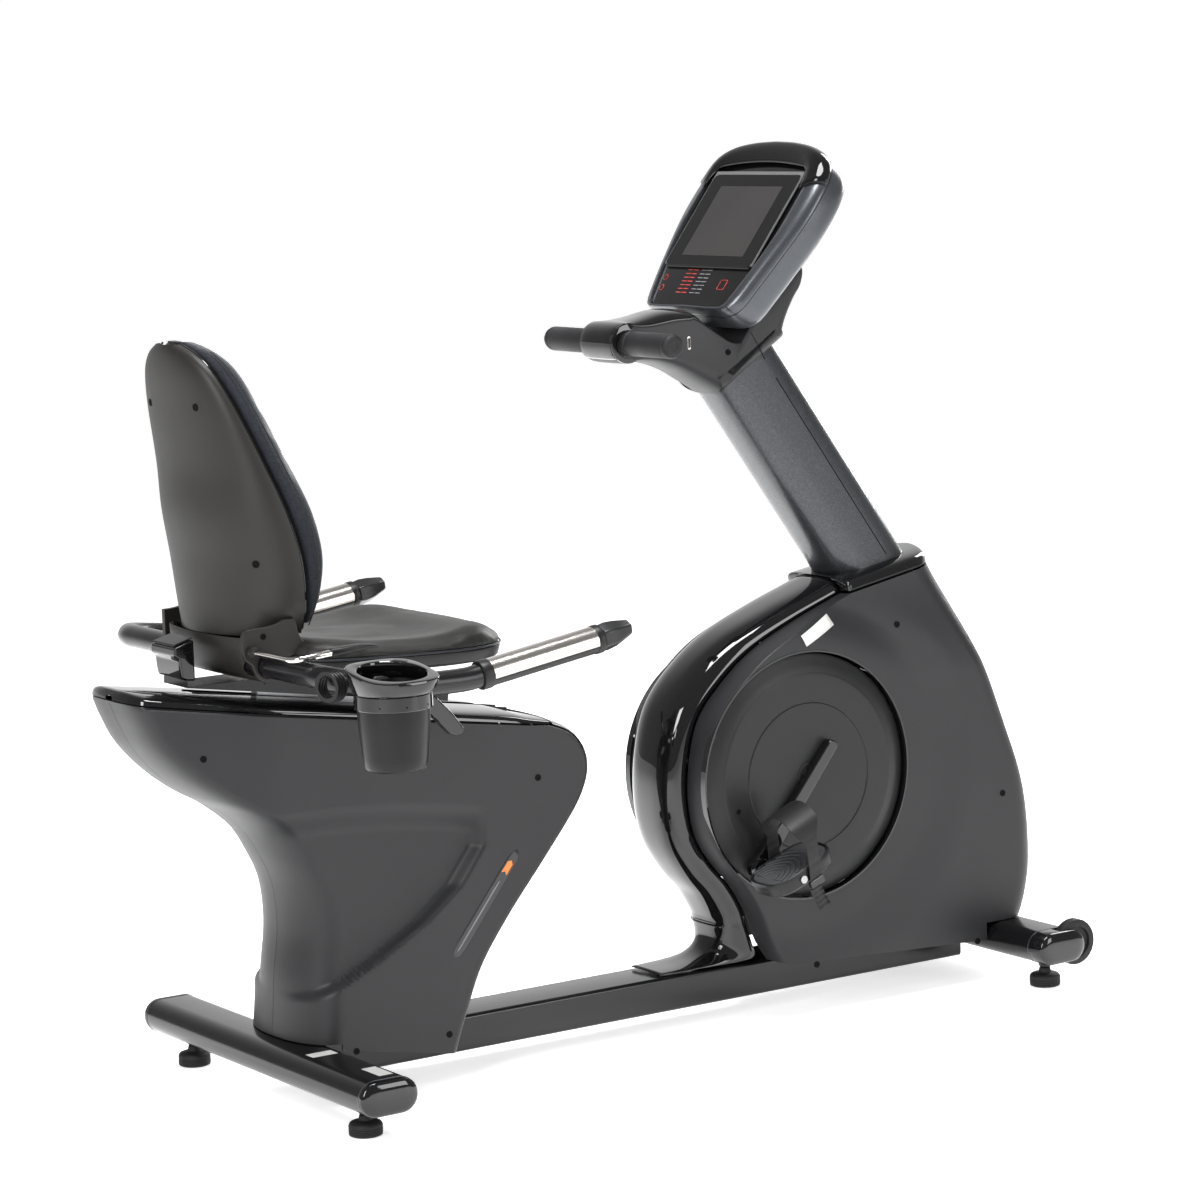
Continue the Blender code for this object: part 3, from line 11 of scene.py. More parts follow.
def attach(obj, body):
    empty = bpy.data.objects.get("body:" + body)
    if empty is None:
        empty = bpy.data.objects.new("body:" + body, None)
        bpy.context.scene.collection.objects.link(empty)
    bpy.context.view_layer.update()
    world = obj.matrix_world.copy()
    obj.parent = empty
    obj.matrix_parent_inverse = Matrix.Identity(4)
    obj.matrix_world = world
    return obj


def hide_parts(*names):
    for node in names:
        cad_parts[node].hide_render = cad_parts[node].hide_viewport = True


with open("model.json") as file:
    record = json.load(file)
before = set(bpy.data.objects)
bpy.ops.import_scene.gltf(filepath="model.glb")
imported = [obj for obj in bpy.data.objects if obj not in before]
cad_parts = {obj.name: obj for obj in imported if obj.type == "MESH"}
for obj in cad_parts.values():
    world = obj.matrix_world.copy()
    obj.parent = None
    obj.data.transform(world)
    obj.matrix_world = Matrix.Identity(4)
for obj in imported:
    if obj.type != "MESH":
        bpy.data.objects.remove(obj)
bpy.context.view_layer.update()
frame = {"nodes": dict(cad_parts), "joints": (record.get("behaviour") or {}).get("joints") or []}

# The bike is laid out with x = 0 at the rear feet, y = 0 on its symmetry plane, z = 0 on the floor.
JOINTS = {joint["name"]: joint for joint in frame["joints"]}
CRANK = Vector((0.880, 0.0, 0.371))
OFFSET = Vector(JOINTS["crank_spin"]["pos_m"]) - CRANK
SCENE = bpy.context.scene

# ---------------------------------------------------------------- dimensions (as in the frame)
GAP = 0.0004
WHEELBASE = 1.26
REAR_FOOT_Y, FRONT_FOOT_Y = 0.2555, 0.198
FOOT_RADIUS = 0.024
TUBE_WIDTH, TUBE_HEIGHT, TUBE_Z = 0.09, 0.05, 0.067
REAR_HALF_LENGTH, FRONT_HALF_LENGTH, CAP_DEPTH = 0.318, 0.212, 0.014
RAIL_HALF_WIDTH, RAIL_BOTTOM, RAIL_TOP = 0.045, 0.028, 0.082
SHELL = 0.003
CRANK_LENGTH = 0.165
CRANK_ANGLE = math.radians(230.3)
DISC_RADIUS = 0.186
PEDAL_Y = 0.186
PEDAL_PITCH = math.radians(-24.0)
WHEEL = Vector((1.296, 0.0, 0.069))
WHEEL_RADIUS, WHEEL_WIDTH = 0.036, 0.018
SLIDE_TILT = math.radians(9.2)
SLIDE = Vector((math.cos(SLIDE_TILT), 0.0, -math.sin(SLIDE_TILT)))
SLIDE_UP = Vector((math.sin(SLIDE_TILT), 0.0, math.cos(SLIDE_TILT)))
DECK = Vector((0.10, 0.0, 0.556))
RECLINE = Vector((-0.056, 0.0, 0.650))
GRIP_BAR = Vector((0.622, 0.0, 1.044))
GRIP_END_Y, GRIP_RADIUS = 0.167, 0.0185
CONSOLE_TILT = math.radians(52.3)
CONSOLE = Vector((0.835, 0.0, 1.178))
CUP = Vector((-0.020, -0.418, 0.668))
SEAT_REAR, SEAT_FRONT, SEAT_HALF_WIDTH = -0.031, 0.354, 0.200
SIDES = (("right", -1), ("left", 1))


# ---------------------------------------------------------------- materials
class Shader:
    """A Principled material whose colour, roughness and bump come from object-space nodes."""

    def __init__(self, name, colour, rough, metallic=0.0, specular=0.5, coat=0.0, coat_rough=0.03):
        self.material = bpy.data.materials.new(name)
        self.material.use_nodes = True
        self.tree = self.material.node_tree
        self.main = self.tree.nodes["Principled BSDF"]
        self.main.inputs["Metallic"].default_value = metallic
        self.main.inputs["Specular IOR Level"].default_value = specular
        self.main.inputs["Coat Weight"].default_value = coat
        self.main.inputs["Coat Roughness"].default_value = coat_rough
        self.place = self.node("ShaderNodeTexCoord").outputs["Object"]
        self.colour = self.rgb(colour)
        self.rough = self.value(rough)
        self.normal = None

    def node(self, kind, **settings):
        made = self.tree.nodes.new(kind)
        for key, value in settings.items():
            setattr(made, key, value)
        return made

    def link(self, source, target):
        self.tree.links.new(source, target)

    def rgb(self, colour):
        made = self.node("ShaderNodeRGB")
        made.outputs[0].default_value = (*colour, 1.0)
        return made.outputs[0]

    def value(self, number):
        made = self.node("ShaderNodeValue")
        made.outputs[0].default_value = number
        return made.outputs[0]

    def stretched(self, scale):
        """Object coordinates scaled by three numbers."""
        made = self.node("ShaderNodeMapping")
        made.inputs["Scale"].default_value = scale
        self.link(self.place, made.inputs["Vector"])
        return made.outputs[0]

    def noise(self, scale, detail=3.0, rough=0.55, where=None):
        made = self.node("ShaderNodeTexNoise")
        made.inputs["Scale"].default_value = scale
        made.inputs["Detail"].default_value = detail
        made.inputs["Roughness"].default_value = rough
        self.link(where or self.place, made.inputs["Vector"])
        return made.outputs["Fac"]

    def cells(self, scale, feature="F1", where=None, output="Distance"):
        made = self.node("ShaderNodeTexVoronoi", feature=feature)
        made.inputs["Scale"].default_value = scale
        self.link(where or self.place, made.inputs["Vector"])
        return made.outputs[output]

    def ramp(self, source, low, high, to_low=0.0, to_high=1.0, smooth=False):
        made = self.node("ShaderNodeMapRange")
        made.interpolation_type = "SMOOTHSTEP" if smooth else "LINEAR"
        for key, number in (
            ("From Min", low), ("From Max", high), ("To Min", to_low), ("To Max", to_high)
        ):
            made.inputs[key].default_value = number
        self.link(source, made.inputs["Value"])
        return made.outputs["Result"]

    def math(self, kind, first, second):
        made = self.node("ShaderNodeMath", operation=kind)
        for socket, item in zip(made.inputs, (first, second)):
            if isinstance(item, (int, float)):
                socket.default_value = item
            else:
                self.link(item, socket)
        return made.outputs[0]

    def tint(self, factor, colour):
        """Mixes another colour over the base by a factor."""
        made = self.node("ShaderNodeMix", data_type="RGBA", blend_type="MIX")
        self.link(factor, made.inputs[0])
        self.link(self.colour, made.inputs[6])
        made.inputs[7].default_value = (*colour, 1.0)
        self.colour = made.outputs[2]
        return self

    def roughen(self, source, amount):
        """Adds to the roughness where the source, centred on a half, is high."""
        shift = self.math("MULTIPLY", self.math("SUBTRACT", source, 0.5), amount)
        self.rough = self.math("ADD", self.rough, shift)
        return self

    def bump(self, source, height, strength=1.0):
        made = self.node("ShaderNodeBump")
        made.inputs["Strength"].default_value = strength
        made.inputs["Distance"].default_value = height
        self.link(source, made.inputs["Height"])
        if self.normal:
            self.link(self.normal, made.inputs["Normal"])
        self.normal = made.outputs[0]
        return self

    def done(self):
        self.link(self.colour, self.main.inputs["Base Color"])
        self.link(self.rough, self.main.inputs["Roughness"])
        if self.normal:
            self.link(self.normal, self.main.inputs["Normal"])
        return self.material


def moulded(name, colour, rough, grain=0.00006, scale=1400.0, specular=0.5):
    """Textured injection-moulded plastic with a spark-eroded grain and slight handling marks."""
    made = Shader(name, colour, rough, specular=specular)
    made.tint(made.ramp(made.noise(3.5, 2.0), 0.35, 0.7, 0.0, 0.35), [c * 1.25 for c in colour])
    made.tint(made.ramp(made.noise(46.0, 4.0), 0.55, 0.8, 0.0, 0.25), [c * 0.75 for c in colour])
    made.roughen(made.noise(9.0, 5.0), 0.12)
    made.roughen(made.noise(scale * 0.4, 1.0), 0.10)
    made.bump(made.noise(scale, 2.0, 0.7), grain, 0.6)
    made.bump(made.cells(scale * 0.7), grain * 0.7, 0.4)
    return made.done()


def glossy(name, colour, rough=0.045, specular=0.5):
    """Polished plastic or lacquer: faint orange peel, a little dust and hair-fine swirls."""
    made = Shader(name, colour, rough, specular=specular, coat=specular / 2, coat_rough=0.02)
    made.tint(made.ramp(made.noise(900.0, 1.0), 0.66, 0.74, 0.0, 0.06), (0.35, 0.35, 0.34))
    made.tint(made.ramp(made.noise(2.5, 3.0), 0.4, 0.7, 0.0, 0.3), [c * 1.6 for c in colour])
    made.roughen(made.noise(14.0, 6.0, 0.7), 0.05)
    made.bump(made.noise(85.0, 2.0), 0.00009, 0.25)
    return made.done()


def painted(name, colour, rough, metallic=0.0, fleck=None, coat=0.4, specular=0.5):
    """Powder coat or metallic lacquer, with flecks for the metallic one."""
    made = Shader(name, colour, rough, metallic, specular, coat, 0.08)
    if fleck:
        spots = made.cells(2600.0, output="Color")
        split = made.node("ShaderNodeSeparateColor")
        made.link(spots, split.inputs[0])
        made.tint(made.ramp(split.outputs[0], 0.62, 1.0, 0.0, 0.75), fleck)
        made.tint(made.ramp(split.outputs[1], 0.55, 1.0, 0.0, 0.6), [c * 0.35 for c in colour])
    made.tint(made.ramp(made.noise(5.0, 3.0), 0.4, 0.75, 0.0, 0.25), [c * 1.4 for c in colour])
    made.roughen(made.noise(24.0, 5.0), 0.08)
    made.bump(made.noise(420.0, 2.0), 0.00005, 0.35)
    return made.done()


def rubbery(name, colour, rough=0.62, scale=1100.0):
    made = Shader(name, colour, rough, specular=0.35)
    made.tint(made.ramp(made.noise(18.0, 5.0), 0.45, 0.8, 0.0, 0.4), [c * 1.7 for c in colour])
    made.roughen(made.noise(30.0, 4.0), 0.15)
    made.bump(made.noise(scale, 3.0, 0.6), 0.00008, 0.6)
    return made.done()


def metal(name, colour, rough, along=(1.0, 1.0, 1.0), scale=900.0, streak=0.00002):
    """Bare metal with a fine directional finish along the axis whose scale is small."""
    made = Shader(name, colour, rough, 1.0)
    lines = made.noise(scale, 3.0, 0.6, where=made.stretched(along))
    made.tint(made.ramp(lines, 0.4, 0.75, 0.0, 0.35), [c * 0.72 for c in colour])
    made.tint(made.ramp(made.noise(11.0, 4.0), 0.5, 0.8, 0.0, 0.3), [c * 0.85 for c in colour])
    made.roughen(lines, 0.16)
    made.bump(lines, streak, 0.4)
    return made.done()


WEAVE_PITCH = 0.0021


def woven(name, colour, light):
    """A knitted mesh fabric: small open cells, with a soft sheen from the fibres."""
    made = Shader(name, colour, 0.88, specular=0.25)
    made.main.inputs["Sheen Weight"].default_value = 0.35
    made.main.inputs["Sheen Roughness"].default_value = 0.4
    cells = made.cells(0.62 / WEAVE_PITCH, where=made.stretched((1.0, 1.0, 1.35)))
    threads = made.noise(2300.0, 2.0)
    made.tint(made.ramp(cells, 0.10, 0.50, 0.0, 0.85), light)
    made.tint(made.ramp(threads, 0.5, 0.8, 0.0, 0.35), [c * 0.5 for c in colour])
    made.tint(made.ramp(made.noise(9.0, 3.0), 0.45, 0.75, 0.0, 0.3), [c * 1.5 for c in light])
    made.roughen(threads, 0.12)
    made.bump(cells, 0.0007, 0.55)
    made.bump(threads, 0.0002, 0.5)
    return made.done()


def leathery(name, colour, rough=0.42):
    """Coated upholstery vinyl with a pebbled grain, rubbed smoother where it is sat on."""
    made = Shader(name, colour, rough, specular=0.3)
    pebbles = made.cells(620.0, "SMOOTH_F1")
    creases = made.cells(210.0, "DISTANCE_TO_EDGE")
    made.tint(made.ramp(pebbles, 0.25, 0.7, 0.0, 0.5), [c * 0.55 for c in colour])
    made.tint(made.ramp(made.noise(7.0, 4.0), 0.45, 0.75, 0.0, 0.4), [c * 1.35 for c in colour])
    made.roughen(made.noise(16.0, 4.0), 0.18)
    made.bump(pebbles, 0.00035, 0.5)
    made.bump(made.ramp(creases, 0.0, 0.08, 0.0, 1.0), 0.00018, 0.35)
    return made.done()


MATTE = moulded("matte_shell", (0.0165, 0.0165, 0.018), 0.45, specular=0.36)
MATTE_WARM = moulded("back_shell", (0.0150, 0.0138, 0.0125), 0.46, 0.00007, 1200.0, 0.36)
DISC = moulded("disc_plastic", (0.0105, 0.0105, 0.011), 0.42, 0.00008, 1000.0, 0.36)
BLACK_MOULDED = moulded("black_moulded", (0.009, 0.009, 0.0095), 0.40, specular=0.35)
CUP_BLACK = moulded("cup_plastic", (0.006, 0.006, 0.0065), 0.34, 0.00004, specular=0.27)
GLOSS = glossy("gloss_black", (0.004, 0.004, 0.0045))
BEZEL = glossy("bezel_gloss", (0.0045, 0.0045, 0.005), 0.05, 0.30)
FRAME_PAINT = painted("frame_paint", (0.0045, 0.0045, 0.005), 0.20, coat=0.1, specular=0.35)
BAR_PAINT = painted("bar_paint", (0.006, 0.006, 0.007), 0.28, coat=0.1, specular=0.35)
MAST_PAINT = painted("mast_paint", (0.030, 0.032, 0.036), 0.36, 0.55, (0.16, 0.17, 0.19))
SATIN_GREY = painted("satin_grey", (0.060, 0.064, 0.072), 0.30, 0.65, (0.16, 0.17, 0.19), 0.3)
RUBBER = rubbery("black_rubber", (0.010, 0.010, 0.0105))
GRIP_RUBBER = rubbery("grip_rubber", (0.011, 0.011, 0.012), 0.55, 1500.0)
TREAD_GREY = rubbery("tread_grey", (0.055, 0.056, 0.060), 0.55)
STRAP = rubbery("strap_rubber", (0.012, 0.012, 0.012), 0.48)
STAINLESS = metal("stainless", (0.60, 0.57, 0.54), 0.22, (0.03, 1.0, 1.0), 1200.0)
CHROME = metal("chrome", (0.78, 0.75, 0.71), 0.07, (1.0, 0.1, 1.0), 300.0, 0.000004)
STEEL = metal("steel", (0.42, 0.42, 0.43), 0.30, (1.0, 0.08, 1.0))
CAST_IRON = metal("cast_iron", (0.16, 0.16, 0.165), 0.45, (1.0, 1.0, 1.0), 500.0, 0.00006)
ALUMINIUM = metal("aluminium", (0.62, 0.63, 0.65), 0.30, (0.05, 1.0, 1.0))
FABRIC = woven("back_fabric", (0.0075, 0.0085, 0.011), (0.020, 0.023, 0.030))
VINYL = leathery("seat_vinyl", (0.0125, 0.0118, 0.0110))
VINYL_SIDE = leathery("seat_side", (0.010, 0.012, 0.016), 0.36)
WHITE_LABEL = moulded("plain_label", (0.62, 0.62, 0.60), 0.5, 0.00003)
ORANGE = moulded("orange_accent", (0.75, 0.20, 0.03), 0.45, 0.00003)
STRIP = moulded("strip_grey", (0.020, 0.020, 0.022), 0.30, 0.00002)
PRINT = moulded("print_grey", (0.16, 0.16, 0.17), 0.5, 0.00002)
RED = moulded("print_red", (0.45, 0.03, 0.02), 0.4, 0.00002)
DARK_HOLE = moulded("dark_socket", (0.002, 0.002, 0.002), 0.7, specular=0.12)


# ---------------------------------------------------------------- building
def piece(name, bm, paint, body, replaces=(), smooth=35.0, recalc=False):
    """A mesh in bike coordinates becomes an object that rides on a body of the frame."""
    if recalc:
        bmesh.ops.recalc_face_normals(bm, faces=bm.faces)
    bmesh.ops.translate(bm, verts=bm.verts, vec=OFFSET)
    mesh = bpy.data.meshes.new(name)
    bm.to_mesh(mesh)
    bm.free()
    mesh.shade_smooth()
    mesh.set_sharp_from_angle(angle=math.radians(smooth))
    obj = bpy.data.objects.new(name, mesh)
    SCENE.collection.objects.link(obj)
    for item in paint if isinstance(paint, (list, tuple)) else (paint,):
        if item:
            mesh.materials.append(item)
    if body:
        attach(obj, body)
        if replaces:
            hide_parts(*((replaces,) if isinstance(replaces, str) else replaces))
    return obj


def settle(obj):
    """Applies an object's modifiers to its mesh."""
    bpy.context.view_layer.update()
    graph = bpy.context.evaluated_depsgraph_get()
    mesh = bpy.data.meshes.new_from_object(obj.evaluated_get(graph))
    old = obj.data
    obj.modifiers.clear()
    obj.data = mesh
    mesh.name = obj.name
    bpy.data.meshes.remove(old)
    return obj


def walled(obj, thickness, offset=-1.0):
    """Gives a surface its wall: inwards by default, outwards at 1 and both ways at 0."""
    wall = obj.modifiers.new("wall", "SOLIDIFY")
    wall.thickness = thickness
    wall.offset = offset


def carve(obj, *cutters, kind="DIFFERENCE"):
    """Booleans with helper meshes, which are then removed."""
    for cutter in cutters:
        modifier = obj.modifiers.new("cut", "BOOLEAN")
        modifier.operation = kind
        modifier.object = cutter
    settle(obj)
    for cutter in cutters:
        bpy.data.objects.remove(cutter, do_unlink=True)
    obj.data.set_sharp_from_angle(angle=math.radians(35))
    return obj


def rounded(obj, width, segments=3, angle=40.0):
    modifier = obj.modifiers.new("round", "BEVEL")
    modifier.width = width
    modifier.segments = segments
    modifier.limit_method = "ANGLE"
    modifier.angle_limit = math.radians(angle)
    modifier.harden_normals = True
    return obj


def arc(centre, radius, start, end, count):
    rx, ry = radius if isinstance(radius, tuple) else (radius, radius)
    angles = [math.radians(start + (end - start) * i / (count - 1)) for i in range(count)]
    return [(centre[0] + rx * math.cos(a), centre[1] + ry * math.sin(a)) for a in angles]


def rounded_rectangle(width, height, radius, steps=6):
    points = []
    for sx, sy, start in ((1, 1, 0), (-1, 1, 90), (-1, -1, 180), (1, -1, 270)):
        centre = (sx * (width / 2 - radius), sy * (height / 2 - radius))
        points += arc(centre, radius, start, start + 90, steps + 1)
    return points


def signed_power(value, power):
    """A power that keeps the sign: below 1 it squares off a circle's cosine and sine."""
    return math.copysign(abs(value) ** power, value)


def round_steps(count):
    """Cosine and sine at equal steps round a full turn."""
    angles = [2 * math.pi * k / count for k in range(count)]
    return [(math.cos(angle), math.sin(angle)) for angle in angles]


def arch_steps(count):
    """Places across, from -1 to 1, and heights at equal steps over a half turn."""
    angles = [math.radians(-90 + 180 * k / count) for k in range(count + 1)]
    return [(math.sin(angle), math.cos(angle)) for angle in angles]


def spline(control, count):
    """Points equally spaced along a smooth curve through the control points."""
    control = [Vector(p) for p in control]
    ends = [2 * control[0] - control[1]] + control + [2 * control[-1] - control[-2]]
    fine = []
    for i in range(1, len(ends) - 2):
        p0, p1, p2, p3 = ends[i - 1 : i + 3]
        for k in range(24):
            t = k / 24
            fine.append(
                0.5 * (2 * p1 + (p2 - p0) * t + (2 * p0 - 5 * p1 + 4 * p2 - p3) * t**2
                       + (3 * p1 - p0 - 3 * p2 + p3) * t**3)
            )
    fine.append(control[-1])
    lengths = [0.0]
    for a, b in zip(fine, fine[1:]):
        lengths.append(lengths[-1] + (b - a).length)
    points, at = [], 0
    for k in range(count):
        wanted = lengths[-1] * k / (count - 1)
        while at < len(fine) - 2 and lengths[at + 1] < wanted:
            at += 1
        span = lengths[at + 1] - lengths[at] or 1.0
        points.append(fine[at].lerp(fine[at + 1], (wanted - lengths[at]) / span))
    return points


def blend(low, high, value):
    t = min(max((value - low) / (high - low), 0.0), 1.0)
    return t * t * (3 - 2 * t)


def rotation_to(axis):
    return Vector((0.0, 0.0, 1.0)).rotation_difference(Vector(axis).normalized()).to_matrix()


def loft_mesh(rings, caps=(True, True)):
    bm = bmesh.new()
    rows = [[bm.verts.new(Vector(p)) for p in ring] for ring in rings]
    count = len(rows[0])
    for low, high in zip(rows, rows[1:]):
        for i in range(count):
            j = (i + 1) % count
            bm.faces.new((low[i], low[j], high[j], high[i]))
    if caps[0]:
        bm.faces.new(rows[0][::-1])
    if caps[1]:
        bm.faces.new(rows[-1])
    bmesh.ops.recalc_face_normals(bm, faces=bm.faces)
    return bm


def loft(name, rings, paint, body, replaces=(), smooth=35.0):
    return piece(name, loft_mesh(rings), paint, body, replaces, smooth)


def box_mesh(size, centre, tilt=0.0):
    bm = bmesh.new()
    bmesh.ops.create_cube(bm, size=1.0, matrix=Matrix.Diagonal((*size, 1.0)))
    turn = Matrix.Translation(Vector(centre)) @ Matrix.Rotation(tilt, 4, "Y")
    bmesh.ops.transform(bm, matrix=turn, verts=bm.verts)
    return bm


def block(name, size, centre, paint, body, bevel=0.002, tilt=0.0):
    obj = piece(name, box_mesh(size, centre, tilt), paint, body)
    return rounded(obj, bevel) if bevel else obj


def rod_mesh(radius, length, centre, axis, segments=48):
    bm = bmesh.new()
    bmesh.ops.create_cone(
        bm, cap_ends=True, segments=segments, radius1=radius, radius2=radius, depth=length,
    )
    turn = Matrix.Translation(Vector(centre)) @ rotation_to(axis).to_4x4()
    bmesh.ops.transform(bm, matrix=turn, verts=bm.verts)
    return bm


def helper(bm):
    """A cutter: a plain mesh object that carve() uses and removes."""
    bmesh.ops.recalc_face_normals(bm, faces=bm.faces)
    return piece("helper", bm, None, None)


def turned_mesh(profile, centre, axis, steps=64):
    """A closed profile of (radius, height) turned about the axis."""
    bm = bmesh.new()
    turn = Matrix.Translation(Vector(centre)) @ rotation_to(axis).to_4x4()
    columns = []
    for k in range(steps):
        angle = 2 * math.pi * k / steps
        column = []
        for radius, height in profile:
            if radius < 1e-6 and columns:
                column.append(columns[0][len(column)])
                continue
            place = Vector((radius * math.cos(angle), radius * math.sin(angle), height))
            column.append(bm.verts.new(turn @ place))
        columns.append(column)
    open_ends = profile[0][0] < 1e-6 and profile[-1][0] < 1e-6
    for k in range(steps):
        one, two = columns[k], columns[(k + 1) % steps]
        last = len(profile) - 1 if open_ends else len(profile)
        for i in range(last):
            j = (i + 1) % len(profile)
            corners = []
            for vert in (one[i], one[j], two[j], two[i]):
                if vert not in corners:
                    corners.append(vert)
            if len(corners) > 2:
                bm.faces.new(corners)
    bmesh.ops.recalc_face_normals(bm, faces=bm.faces)
    return bm


def turned(name, profile, centre, axis, paint, body, replaces=(), steps=64, smooth=32.0):
    return piece(name, turned_mesh(profile, centre, axis, steps), paint, body, replaces, smooth)


def grid_mesh(rows, outward):
    bm = bmesh.new()
    grid = [[bm.verts.new(Vector(p)) for p in row] for row in rows]
    for low, high in zip(grid, grid[1:]):
        for i in range(len(low) - 1):
            bm.faces.new((low[i], low[i + 1], high[i + 1], high[i]))
    bm.normal_update()
    total = sum((face.normal * face.calc_area() for face in bm.faces), Vector((0, 0, 0)))
    if total.dot(Vector(outward)) < 0:
        bmesh.ops.reverse_faces(bm, faces=bm.faces)
    return bm


def skin(name, rows, paint, body, outward, replaces=(), thickness=SHELL, edge=0.0008):
    """A shell: a surface through rows of points, made solid inwards with softened rims."""
    obj = piece(name, grid_mesh(rows, outward), paint, body, replaces, 40.0)
    walled(obj, thickness)
    if edge:
        rounded(obj, edge, 2, 50.0)
    return obj


def sweep_mesh(path, radius, sides=24):
    """A round bar along a path, by parallel transport; radius may be a function of 0..1."""
    path = [Vector(p) for p in path]
    side = None
    rings = []
    for i, at in enumerate(path):
        along = (path[min(i + 1, len(path) - 1)] - path[max(i - 1, 0)]).normalized()
        if side is None:
            side = along.cross(Vector((0.0, 0.0, 1.0)))
            if side.length < 0.1:
                side = along.cross(Vector((0.0, 1.0, 0.0)))
        side = (side - along * side.dot(along)).normalized()
        up = side.cross(along)
        r = radius(i / (len(path) - 1)) if callable(radius) else radius
        rings.append([
            at + side * r * math.cos(2 * math.pi * k / sides)
            + up * r * math.sin(2 * math.pi * k / sides)
            for k in range(sides)
        ])
    return loft_mesh(rings)


def tube(name, path, radius, paint, body, replaces=(), sides=24):
    return piece(name, sweep_mesh(path, radius, sides), paint, body, replaces)


def plate_mesh(outline, y_low, y_high):
    """An (x, z) outline filled and extruded along Y."""
    bm = bmesh.new()
    low = [bm.verts.new((x, y_low, z)) for x, z in outline]
    high = [bm.verts.new((x, y_high, z)) for x, z in outline]
    count = len(outline)
    for i in range(count):
        j = (i + 1) % count
        bm.faces.new((low[i], low[j], high[j], high[i]))
    bm.faces.new(low[::-1])
    bm.faces.new(high)
    bmesh.ops.recalc_face_normals(bm, faces=bm.faces)
    return bm


def plate(name, outline, y_low, y_high, paint, body, bevel=0.0015, replaces=()):
    obj = piece(name, plate_mesh(outline, y_low, y_high), paint, body, replaces)
    return rounded(obj, bevel, 3) if bevel else obj


def merged(name, meshes, paint, body):
    """Several closed shapes as one piece."""
    whole = bmesh.new()
    for bm in meshes:
        part = bpy.data.meshes.new("part")
        bm.to_mesh(part)
        bm.free()
        whole.from_mesh(part)
        bpy.data.meshes.remove(part)
    return piece(name, whole, paint, body)


def mirrored(points):
    return [Vector((p[0], -p[1], p[2])) for p in points]


def tilted(angle, centre, points):
    """Places (across, up, out) points on a plane that leans back by angle from level."""
    up = Vector((math.cos(angle), 0.0, math.sin(angle)))
    out = Vector((-math.sin(angle), 0.0, math.cos(angle)))
    return [Vector(centre) + Vector((0.0, a, 0.0)) + up * u + out * o for a, u, o in points]


def screw_head(name, at, axis, body, radius=0.0052):
    """A round-headed cover screw with a hexagon socket, standing a little proud of the shell."""
    axis = Vector(axis).normalized()
    profile = [
        (0.0, 0.0006), (radius * 0.42, 0.0006), (radius * 0.46, 0.0013), (radius * 0.80, 0.0014),
        (radius * 0.96, 0.0008), (radius, -0.0010), (0.0, -0.0010),
    ]
    return turned(name, profile, Vector(at), axis, DARK_HOLE, body, steps=24, smooth=25.0)


# ---------------------------------------------------------------- floor, light and camera
def floor():
    bm = bmesh.new()
    bmesh.ops.create_grid(bm, x_segments=2, y_segments=2, size=60.0)
    made = piece("floor", bm, None, None)
    made.location = (-OFFSET.x, -OFFSET.y, -0.0004)
    pale = Shader("floor_paint", (0.90, 0.90, 0.90), 0.6, specular=0.2)
    pale.roughen(pale.noise(6.0, 3.0), 0.05)
    pale.main.inputs["Emission Color"].default_value = (1.0, 1.0, 1.0, 1.0)
    pale.main.inputs["Emission Strength"].default_value = 0.64
    made.data.materials.append(pale.done())


def softbox(name, place, aim, size, power, tall=None):
    data = bpy.data.lights.new(name, "AREA")
    data.shape = "RECTANGLE"
    data.size = size
    data.size_y = tall or size
    data.energy = power
    lamp = bpy.data.objects.new(name, data)
    lamp.location = Vector(place) + OFFSET
    lamp.rotation_mode = "QUATERNION"
    towards = Vector(aim) - Vector(place)
    lamp.rotation_quaternion = towards.to_track_quat("-Z", "Y")
    SCENE.collection.objects.link(lamp)
    return lamp


BACKDROP_WAY = (0.54, 0.83, -0.13)
ROOM_SHADE = (("From Min", 0.35), ("From Max", 0.93), ("To Min", 0.27), ("To Max", 1.02))
LIT_MIDDLE = (0.5, 0.0, 0.6)
CAMERA_PLACE = Vector((-2.581, -4.870, 1.445))
CAMERA_HEADING, CAMERA_PITCH, CAMERA_ROLL = -33.016, 7.684, -2.1
SENSOR_WIDTH, FOCAL_LENGTH = 36.0, 117.7


def stage():
    """A pale floor in a room that is white behind the bike and dimmer round the camera."""
    floor()
    world = bpy.data.worlds.new("studio")
    world.use_nodes = True
    tree = world.node_tree
    sky = tree.nodes["Background"]
    sky.inputs["Color"].default_value = (1.0, 1.0, 1.0, 1.0)
    place = tree.nodes.new("ShaderNodeTexCoord")
    facing = tree.nodes.new("ShaderNodeVectorMath")
    facing.operation = "DOT_PRODUCT"
    facing.inputs[1].default_value = BACKDROP_WAY
    tree.links.new(place.outputs["Generated"], facing.inputs[0])
    shade = tree.nodes.new("ShaderNodeMapRange")
    shade.interpolation_type = "SMOOTHSTEP"
    for key, number in ROOM_SHADE:
        shade.inputs[key].default_value = number
    tree.links.new(facing.outputs["Value"], shade.inputs["Value"])
    tree.links.new(shade.outputs["Result"], sky.inputs["Strength"])
    SCENE.world = world
    SCENE.view_settings.view_transform = "Standard"
    softbox("key_left", (-3.4, -2.2, 2.6), LIT_MIDDLE, 1.3, 135.0, 2.4)
    softbox("top_back", (0.9, 2.2, 3.4), LIT_MIDDLE, 2.6, 150.0, 1.4).visible_glossy = False
    softbox("rim_front", (3.6, 1.2, 2.2), LIT_MIDDLE, 0.8, 70.0, 2.4)
    softbox("overhead", (0.4, -0.6, 3.8), LIT_MIDDLE, 1.6, 110.0, 1.0)
    softbox("fill_right", (2.6, -4.0, 1.6), LIT_MIDDLE, 1.2, 45.0, 2.0)


